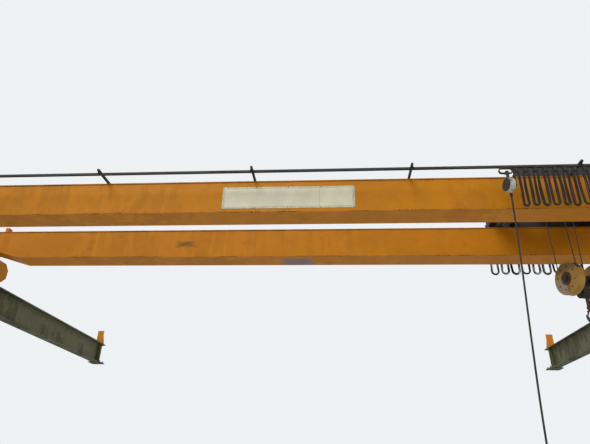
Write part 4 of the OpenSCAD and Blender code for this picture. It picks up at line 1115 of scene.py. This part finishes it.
class CRANE_OT_bridge(bpy.types.Operator):
    """Welds, rivets and bolts of girders and carriages, and fittings of drives and boxes."""

    bl_idname = "crane.bridge"
    bl_label = "Bridge fittings"

    def execute(self, context):
        sizes = context.scene.crane_sizes
        for side, out in GIRDERS:
            self.girder(side, sizes.weld)
            self.rail_stitches(side)
            self.track(side, out, sizes.small_bolt)
        self.plate_rivets()
        for side, inward in ENDS:
            self.carriage(side)
            self.drive(side, inward)
        self.terminals(sizes.loop_d)
        return {"FINISHED"}

    def girder(self, side, leg):
        """Welds along both edges of each web; the lower ones follow the girder's stepped ends.

        x is 0 over the left rail, and the girder goes the overhang past both rails."""
        low, high, middle = box(f"girder_{side}")
        overhang, flat, slope, half_width, end_height, inset = 0.130, 0.250, 0.600, 0.188, 0.326, 0.015
        span = high[0] - low[0] - 2 * overhang
        end_z = high[2] - end_height
        stops = np.array([(low[0] + inset, end_z), (flat, end_z), (flat + slope, low[2]),
                          (span - flat - slope, low[2]), (span - flat, end_z),
                          (high[0] - inset, end_z)])
        spans = zip(stops[:-1, 0], stops[1:, 0], (4, 9, 120, 9, 4))
        xs = np.concatenate([np.linspace(a, b, n)[:-1] for a, b, n in spans] + [[stops[-1, 0]]])
        zs = np.interp(xs, stops[:, 0], stops[:, 1])
        beads = []
        for s in BOTH:
            y = 0 * xs + middle[1] + s * half_width
            beads.append(fillet(np.stack([xs, y, zs + 0.012], -1), leg, Y * s, Z))
            beads.append(fillet(np.stack([xs, y, 0 * xs + high[2] - 0.012], -1), leg, Y * s, -Z))
        make(f"girder_welds_{side}", beads, "weld_paint", "bridge", 50)

    def rail_stitches(self, side):
        """Short welds on both sides of a crab rail, at even steps."""
        low, high, middle = box(f"crab_rail_{side}")
        beads = []
        for x, s in product(np.arange(low[0] + 0.15, high[0] - 0.1, 0.45), BOTH):
            line = [(x + d, middle[1] + s * 0.020, low[2]) for d in np.linspace(-0.035, 0.035, 9)]
            beads.append(fillet(line, 0.006, Y * s, Z))
        make(f"rail_stitches_{side}", beads, "weld_paint", "bridge", 50)

    def track(self, side, out, size):
        """At each arm of a cable rail, the clamp's bolts and the strap on the girder."""
        y, z = box(f"{side}_carrier_1")[2][1], box(f"girder_{side}")[1][2]
        strap_y = BRIDGE_Y + out * (HALF_GAUGE + 0.150)
        bolts, straps = [], []
        for x in FIRST_ARM + ARM_PITCH * np.arange(ARM_COUNT):
            for s in BOTH:
                places = [(x + d, y + s * 0.023, z - 0.007) for d in (-0.017, 0.017)]
                bolts += heads(size, places, Y * s)
            straps.append(pad((x, strap_y, z), 0.032, 0.035, FIT, 0.006, 0.001))
            bolts += heads(0.016, [(x + d, strap_y, z + 0.006) for d in (-0.024, 0.024)])
        make(f"track_bolts_{side}", bolts, "rope_steel", "bridge")
        make(f"arm_straps_{side}", straps, "dark_steel", "bridge")

    def plate_rivets(self):
        """Round rivets along the plate's upper and lower edges."""
        low, high, _ = box("sign_plate")
        dome = turned([(0.0075, 0), (0.0072, 0.0012), (0.005, 0.0030), (0.001, 0.0038)], (0, 0, 0), Z, 14)
        across = np.linspace(low[0] + 0.012, high[0] - 0.012, 5)
        places = [(x, low[1], z) for x, z in product(across, (low[2] + 0.011, high[2] - 0.011))]
        make("plate_rivets", copies(dome, places, -Y), "rope_steel", "bridge")

    def carriage(self, side):
        """Bolts of the wheels' caps, welds of the girders' seats, jacking pads and rail sweeps."""
        low, high, (x, mid_y, _) = box(f"end_carriage_{side}")
        z = box("bridge_wheels")[1][2] - WHEEL_R
        bolts, beads, pads, sweeps = [], [], [], []
        for t, s in product(BOTH, BOTH):
            at = (x + s * CAP_FACE, mid_y + t * HALF_WHEEL_BASE, z)
            bolts += head_ring(0.017, at, X, 0.051, 6, 0.5, s)
        for (_, out), t in product(GIRDERS, BOTH):
            y = BRIDGE_Y + out * HALF_GAUGE + t * 0.2
            across = np.linspace(low[0] + 0.01, high[0] - 0.01, 24)
            beads.append(fillet([(v, y, high[2]) for v in across], 0.007, Y * t, Z))
        for t in BOTH:
            y = mid_y + t * 1.26
            pads += lid((x - 0.075, y - 0.05, high[2] - 0.2), (x + 0.075, y + 0.05, high[2]),
                        Z, 0.006, 0.014, 0.016)
            sweeps.append(pad((x, mid_y + t * 1.36, low[2]), 0.05, 0.004, -0.018, 0.075))
        make(f"cap_bolts_{side}", bolts, "wheel_steel", "bridge")
        make(f"seat_welds_{side}", beads, "weld_paint", "bridge", 50)
        make(f"jacking_pads_{side}", pads, "crane_paint", "bridge")
        make(f"rail_sweeps_{side}", sweeps, "dark_steel", "bridge")

    def drive(self, side, inward):
        """Fins, fan cover, gearcase bolts, box lid and lead of a travel drive."""
        rail = box(f"runway_rail_{side}")[2][0]
        x = rail + inward * DRIVE_SHAFT
        y = BRIDGE_Y - HALF_WHEEL_BASE
        z = box("bridge_wheels")[1][2] - WHEEL_R + 0.010
        make(f"travel_motor_fins_{side}", [finned((x, y + 0.112, z), Y, 0.200, 0.0812, 0.014, 22)],
             "machine_paint", "bridge")
        make(f"travel_fan_cover_{side}", [fan_cover((x, y + 0.345, z), Y, 0.0868, 0.056)],
             "box_plastic", "bridge")
        face = (rail + inward * DRIVE_FACE, y, z - 0.010)
        bolts = head_ring(0.013, face, X, 0.072, 8, way=inward) + heads(0.020, [face], X * inward)
        make(f"gear_bolts_{side}", bolts, "rope_steel", "bridge")
        cover = lid((x - 0.047, y + 0.148, z + 0.064), (x + 0.047, y + 0.272, z + 0.118), Z, 0.005, 0.010)
        make(f"motor_box_lid_{side}", cover, "box_plastic", "bridge")
        start = np.array([x - inward * 0.047, y + 0.21, z + 0.090])
        k = np.linspace(0, 1, 26)[:, None]
        wave = np.sin(math.pi * k)
        reach = np.array([rail + inward * 0.131, y + 0.33, z + 0.150]) - start
        lead = tube(start + reach * k + Z * (0.055 * wave * (1 - k)) + Y * 0.02 * wave, 0.006, 10)
        gland = turned([(0.014, 0), (0.014, 0.010), (0.010, 0.018), (0, 0.018)], start, -X * inward, 14)
        make(f"motor_lead_{side}", [lead, gland], "cable_rubber", "bridge", 60)

    def terminals(self, d):
        """Lids of the boxes where the festoons end, and a gland for each cable."""
        lids, glands = [], []
        gland = [(0.0062, -0.001), (0.0062, 0.012), (0, 0.012)]
        for side, out in GIRDERS:
            low, _, (x, y, _) = box(f"{side}_end_clamp")
            middle, half_width = x + 0.0732, 0.070
            reach = 0.055 if out > 0 else 0.050
            top = low[2] + SADDLE_R - TERMINAL_DROP
            lids += lid((middle - half_width, y - reach, top - 0.155),
                        (middle + half_width, y + reach, top - 0.005), Y * out, 0.008, 0.009, 0.009)
            for dx, dy in product((-0.006, 0.006), (-0.0064, 0.0064)):
                glands.append(turned(gland, (x + wrap_radius(d) + dx, y + dy, top), Z, 12))
        make("terminal_lids", lids, "box_plastic", "bridge")
        make("terminal_glands", glands, "cable_rubber", "bridge")


# From the crab's middle to the hoist motor's flange, which is 18 mm thick
MOTOR_START = GEAR_X - FIT - 0.018


class CRANE_OT_crab(bpy.types.Operator):
    """Bolts, fins, covers, lifting eyes and motor cable of the crab's machinery."""

    bl_idname = "crane.crab"
    bl_label = "Crab fittings"

    def execute(self, context):
        low, high, middle = box("crab_frame")
        x, deck = middle[0], high[2]
        drum = box("rope_drum")[2]
        motor_y, motor_z = drum[1:] + MOTOR_FROM_DRUM
        self.gearbox(x + GEAR_X, drum, motor_y, motor_z, deck)
        self.motor(x, motor_y, motor_z, deck)
        self.pedestal(drum, deck)
        self.travel(x)
        joints = []
        for bar, s, dx, dy in product((low[0] + 0.05, x - 0.56, x + 0.56, high[0] - 0.05), BOTH,
                                      (-0.028, 0.028), (-0.030, 0.030)):
            joints += heads(0.019, [(bar + dx, BRIDGE_Y + s * HALF_GAUGE + dy, deck)])
        make("frame_bolts", joints, "dark_steel", "crab")
        self.conduit(x, motor_y, deck)
        return {"FINISHED"}

    def gearbox(self, x, drum, motor_y, motor_z, deck):
        """Flange, foot and cover bolts, two round covers, the breather and two lifting eyes."""
        low, high, _ = box("hoist_gearbox")
        y, shaft_z, face, middle = drum[1], drum[2] + GEAR_SHAFT_Z, x + GEAR_DEPTH, x + GEAR_DEPTH / 2
        flange = product(np.linspace(low[1] + 0.030, high[1] - 0.030, 7), (x + 0.020, face - 0.020))
        bolts = heads(0.019, [(bx, by, drum[2] + 0.082) for by, bx in flange])
        bolts += heads(0.024, [(face + 0.005, y + dy, deck + 0.020) for dy in (-0.130, 0.300)])
        bolts += head_ring(0.016, (face, y, shaft_z), X, 0.105, 8)
        make("gearbox_bolts", bolts, "rope_steel", "crab")
        large = [(0.125, 0), (0.125, 0.010), (0.118, 0.014), (0.060, 0.014), (0.052, 0.024), (0, 0.024)]
        small = [(0.085, 0), (0.085, 0.008), (0.080, 0.011), (0, 0.011)]
        covers = [turned(large, (face, y, shaft_z), X, 40), turned(small, (face, motor_y, motor_z), X, 32)]
        make("gearbox_covers", covers, "machine_paint", "crab")
        breather = [(0.011, 0), (0.011, 0.008), (0.018, 0.008), (0.020, 0.014), (0.018, 0.024), (0, 0.026)]
        plugs = [turned(breather, (middle, y + 0.340, high[2] - 0.0267), Z, 20)]
        # Lifting eyes square to the casing's two round shoulders
        for dy, z, r, lean in ((0.0, 0.165, 0.165, -0.125), (0.430, 0.160, 0.130, 0.085)):
            n = np.array([0, lean, math.sqrt(r * r - lean * lean)]) / r
            foot = np.array([middle, y + dy, high[2] - z]) + n * r
            plugs.append(hoop(foot + n * 0.022, X, 0.022, 0.0065))
            plugs.append(turned([(0.016, -0.010), (0.016, 0.004), (0.008, 0.004), (0, 0.004)],
                                foot, n, 16))
        make("gearbox_breather_eye", plugs, "rope_steel", "crab")

    def motor(self, x, y, z, deck):
        """Fins, fan cover, cap of the terminal box and feet of the hoist motor."""
        low, high, _ = box("hoist_motor")
        start = x + MOTOR_START
        make("motor_fins", [finned((start - 0.440, y, z), X, 0.420, 0.1397, 0.0100, 30)],
             "machine_paint", "crab")
        make("motor_fan_cover", [fan_cover((low[0] + 0.020, y, z), -X, 0.1425, 0.024)],
             "machine_paint", "crab")
        # The box's cap grips it from above, and its screws go in from the sides
        at = np.array([start - 0.280, y, high[2]])
        cap = [pad(at, 0.080, 0.080, -0.014, 0.0028, 0.0025)]
        for s in BOTH:
            cap += heads(0.009, [at + [dx, s * 0.080, -0.007] for dx in (-0.055, 0.055)], Y * s)
        make("motor_box_lid", cap, "box_plastic", "crab")
        feet = []
        for foot_x in (start - 0.36, start - 0.12):
            foot = np.array([foot_x, y, deck])
            feet.append(pad(foot, 0.03, 0.12, FIT, 0.020, 0.002))
            feet.append(pad(foot, 0.012, 0.09, 0.019, z - 0.105 - deck))
            feet += heads(0.018, [foot + [0, dy, 0.020] for dy in (-0.10, 0.10)])
        make("motor_feet", feet, "machine_paint", "crab")

    def conduit(self, x, y, deck):
        """Cable from the crab's far side beam over the deck and up to the motor's box."""
        start, top = x + MOTOR_START, box("hoist_motor")[1][2]
        points = np.array([
            (x - 0.70, BRIDGE_Y + 0.80, deck + 0.014), (x - 0.58, BRIDGE_Y + 0.80, deck + 0.014),
            (x - 0.30, BRIDGE_Y + 0.79, deck + 0.014), (x - 0.02, BRIDGE_Y + 0.72, deck + 0.016),
            (x + 0.05, y + 0.20, deck + 0.020), (start - 0.37, y + 0.19, deck + 0.10),
            (start - 0.38, y + 0.15, top - 0.06), (start - 0.356, y + 0.05, top - 0.035)])
        line = tube(smooth_path(points, 8), 0.010, 10, unit(np.array([0.2, 0.3, 1.0])))
        make("motor_conduit", [line], "cable_rubber", "crab", 60)

    def pedestal(self, drum, deck):
        """Foot bolts and end cap of the drum's outer bearing."""
        low, high, _ = box("drum_pedestal")
        bearing = (low[0], drum[1], drum[2] + 0.035)
        feet = product((drum[1] - 0.095, drum[1] + 0.095), (low[0] + 0.03, high[0] - 0.03))
        bolts = heads(0.024, [(x, y, deck + 0.024) for y, x in feet])
        bolts += head_ring(0.015, bearing, X, 0.072, 6, way=-1)
        bolts.append(turned([(0.052, 0), (0.052, 0.006), (0.040, 0.016), (0, 0.019)], bearing, -X, 24))
        make("pedestal_bolts", bolts, "rope_steel", "crab")

    def travel(self, x):
        """Bolts of the crab wheels' caps, and the fins, fan cover and bolts of its drive."""
        axle = box("crab_wheels")[2][2]
        caps = []
        for wheel_x, t, s in product((x - CRAB_WHEEL_X, x + CRAB_WHEEL_X), BOTH, BOTH):
            at = (wheel_x, BRIDGE_Y + t * HALF_GAUGE + s * 0.0703, axle)
            caps += head_ring(0.012, at, Y, 0.033, 4, 0.6, s)
        make("crab_cap_bolts", caps, "rope_steel", "crab")
        x, z = x - CRAB_WHEEL_X, axle + 0.060
        make("crab_motor_fins", [finned((x, BRIDGE_Y + 0.063, z), Y, 0.185, 0.0762, 0.012, 20)],
             "machine_paint", "crab")
        make("crab_fan_cover", [fan_cover((x, BRIDGE_Y + 0.003, z), -Y, 0.0808, 0.006)],
             "box_plastic", "crab")
        places = [(x + dx, BRIDGE_Y + 0.395, z - 0.035 + dz)
                  for dx, dz in product((-0.07, 0.07), (-0.08, 0, 0.08))]
        make("crab_gear_bolts", heads(0.012, places, Y), "rope_steel", "crab")


class CRANE_OT_block(bpy.types.Operator):
    """Bolts, discs and rims of the sheave covers, and nuts, bearing, lock and spring of the hook."""

    bl_idname = "crane.block"
    bl_label = "Hook block fittings"

    def execute(self, context):
        at = box("crab_frame")[2]
        at[2] = box("block_sheaves")[2][2]
        self.covers(at)
        self.crosshead(at)
        self.latch(at - Z * 0.520)
        return {"FINISHED"}

    def covers(self, at):
        """Bolts, a rusty disc round the hub and two rolled rims on each sheave cover."""
        bolts, hubs, rims = [], [], []
        disc = [(0.066, 0), (0.098, 0), (0.095, 0.005), (0.080, 0.009), (0.066, 0.009)]
        for s in BOTH:
            out = BLOCK_U * s
            face = at + out * (SHEAVE_OFF + 0.058)
            bolts += head_ring(0.015, face - out * 0.005, BLOCK_U, 0.165, 8, 0.3, s)
            bolts += head_ring(0.011, face + out * 0.004, BLOCK_U, 0.088, 6, way=s)
            hubs.append(turned(disc, face - out * 0.0046, out, 40))
            for edge in (-0.0525, 0.046):
                rims.append(hoop(at + out * (SHEAVE_OFF + edge), BLOCK_U, 0.2345, 0.0042, 64))
        make("cover_bolts", bolts, "rope_steel", "hook_block")
        make("cover_hub_rings", hubs, "rusted_steel", "hook_block")
        make("cover_rims", rims, "cover_paint", "hook_block", 60)

    def crosshead(self, at):
        """Nuts at the crosshead's ends, and the bearing ring and lock of the hook's nut."""
        nuts = []
        for s in BOTH:
            out = BLOCK_U * s
            nuts += heads(0.046, [at + out * 0.109 - Z * 0.200], out)
            plate = at + out * (0.095 + FIT) - Z * 0.085
            nuts += heads(0.016, [plate + BLOCK_V * k * 0.045 for k in BOTH], out)
        make("crosshead_nuts", nuts, "hook_steel", "hook_block")
        nut = at - Z * 0.145
        ring = [(0.050, 0), (0.0555, 0), (0.0555, 0.016), (0.050, 0.016)]
        make("hook_bearing", [turned(ring, nut + Z * 0.003, Z, 36)], "rope_steel", "hook")
        lock = nut + Z * 0.048
        pins = [*head_ring(0.014, lock, Z, 0.036, 2), pad(lock, 0.040, 0.012, 0, 0.005)]
        make("hook_nut_lock", pins, "rope_steel", "hook")

    def latch(self, bowl):
        """Coil spring of five turns beside the latch, and the latch's pin."""
        hinge = bowl - BLOCK_U * 0.0296 + Z * 0.0646
        t = np.linspace(0, 5 * TAU, 150)[:, None]
        coil = (hinge + BLOCK_V * (0.0165 + t / TAU * 0.0021)
                + BLOCK_U * 0.0085 * np.cos(t) + Z * 0.0085 * np.sin(t))
        pin = turned([(0, -0.017), (0.0035, -0.017), (0.0035, 0.030), (0, 0.030)], hinge, BLOCK_V, 12)
        make("latch_spring", [tube(coil, 0.0009, 6, BLOCK_V), pin], "rope_steel", "hook", 60)


# Panel and registration


class CRANE_PT_panel(bpy.types.Panel):
    """Sizes, colours and steps of the crane in the 3D view's sidebar."""

    bl_idname = "CRANE_PT_panel"
    bl_label = "Bridge crane"
    bl_space_type = "VIEW_3D"
    bl_region_type = "UI"
    bl_category = "Crane"

    def draw(self, context):
        for group in (context.scene.crane_sizes, context.scene.crane_colours):
            for key in group.__annotations__:
                self.layout.prop(group, key)
        for step in STEPS:
            self.layout.operator(step.bl_idname)


STEPS = (CRANE_OT_finishes, CRANE_OT_stage, CRANE_OT_pendant, CRANE_OT_festoons, CRANE_OT_ropes,
         CRANE_OT_runway, CRANE_OT_bridge, CRANE_OT_crab, CRANE_OT_block)
CLASSES = (CraneSizes, CraneColours, *STEPS, CRANE_PT_panel)


def register():
    """Registers the classes and ties the sizes and colours to the scene."""
    for item in CLASSES:
        bpy.utils.register_class(item)
    bpy.types.Scene.crane_sizes = bpy.props.PointerProperty(type=CraneSizes)
    bpy.types.Scene.crane_colours = bpy.props.PointerProperty(type=CraneColours)


def unregister():
    """Takes back what register did."""
    del bpy.types.Scene.crane_sizes
    del bpy.types.Scene.crane_colours
    for item in reversed(CLASSES):
        bpy.utils.unregister_class(item)


def main():
    """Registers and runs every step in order."""
    register()
    for step in STEPS:
        group, name = step.bl_idname.split(".")
        getattr(getattr(bpy.ops, group), name)()


if __name__ == "__main__":
    main()
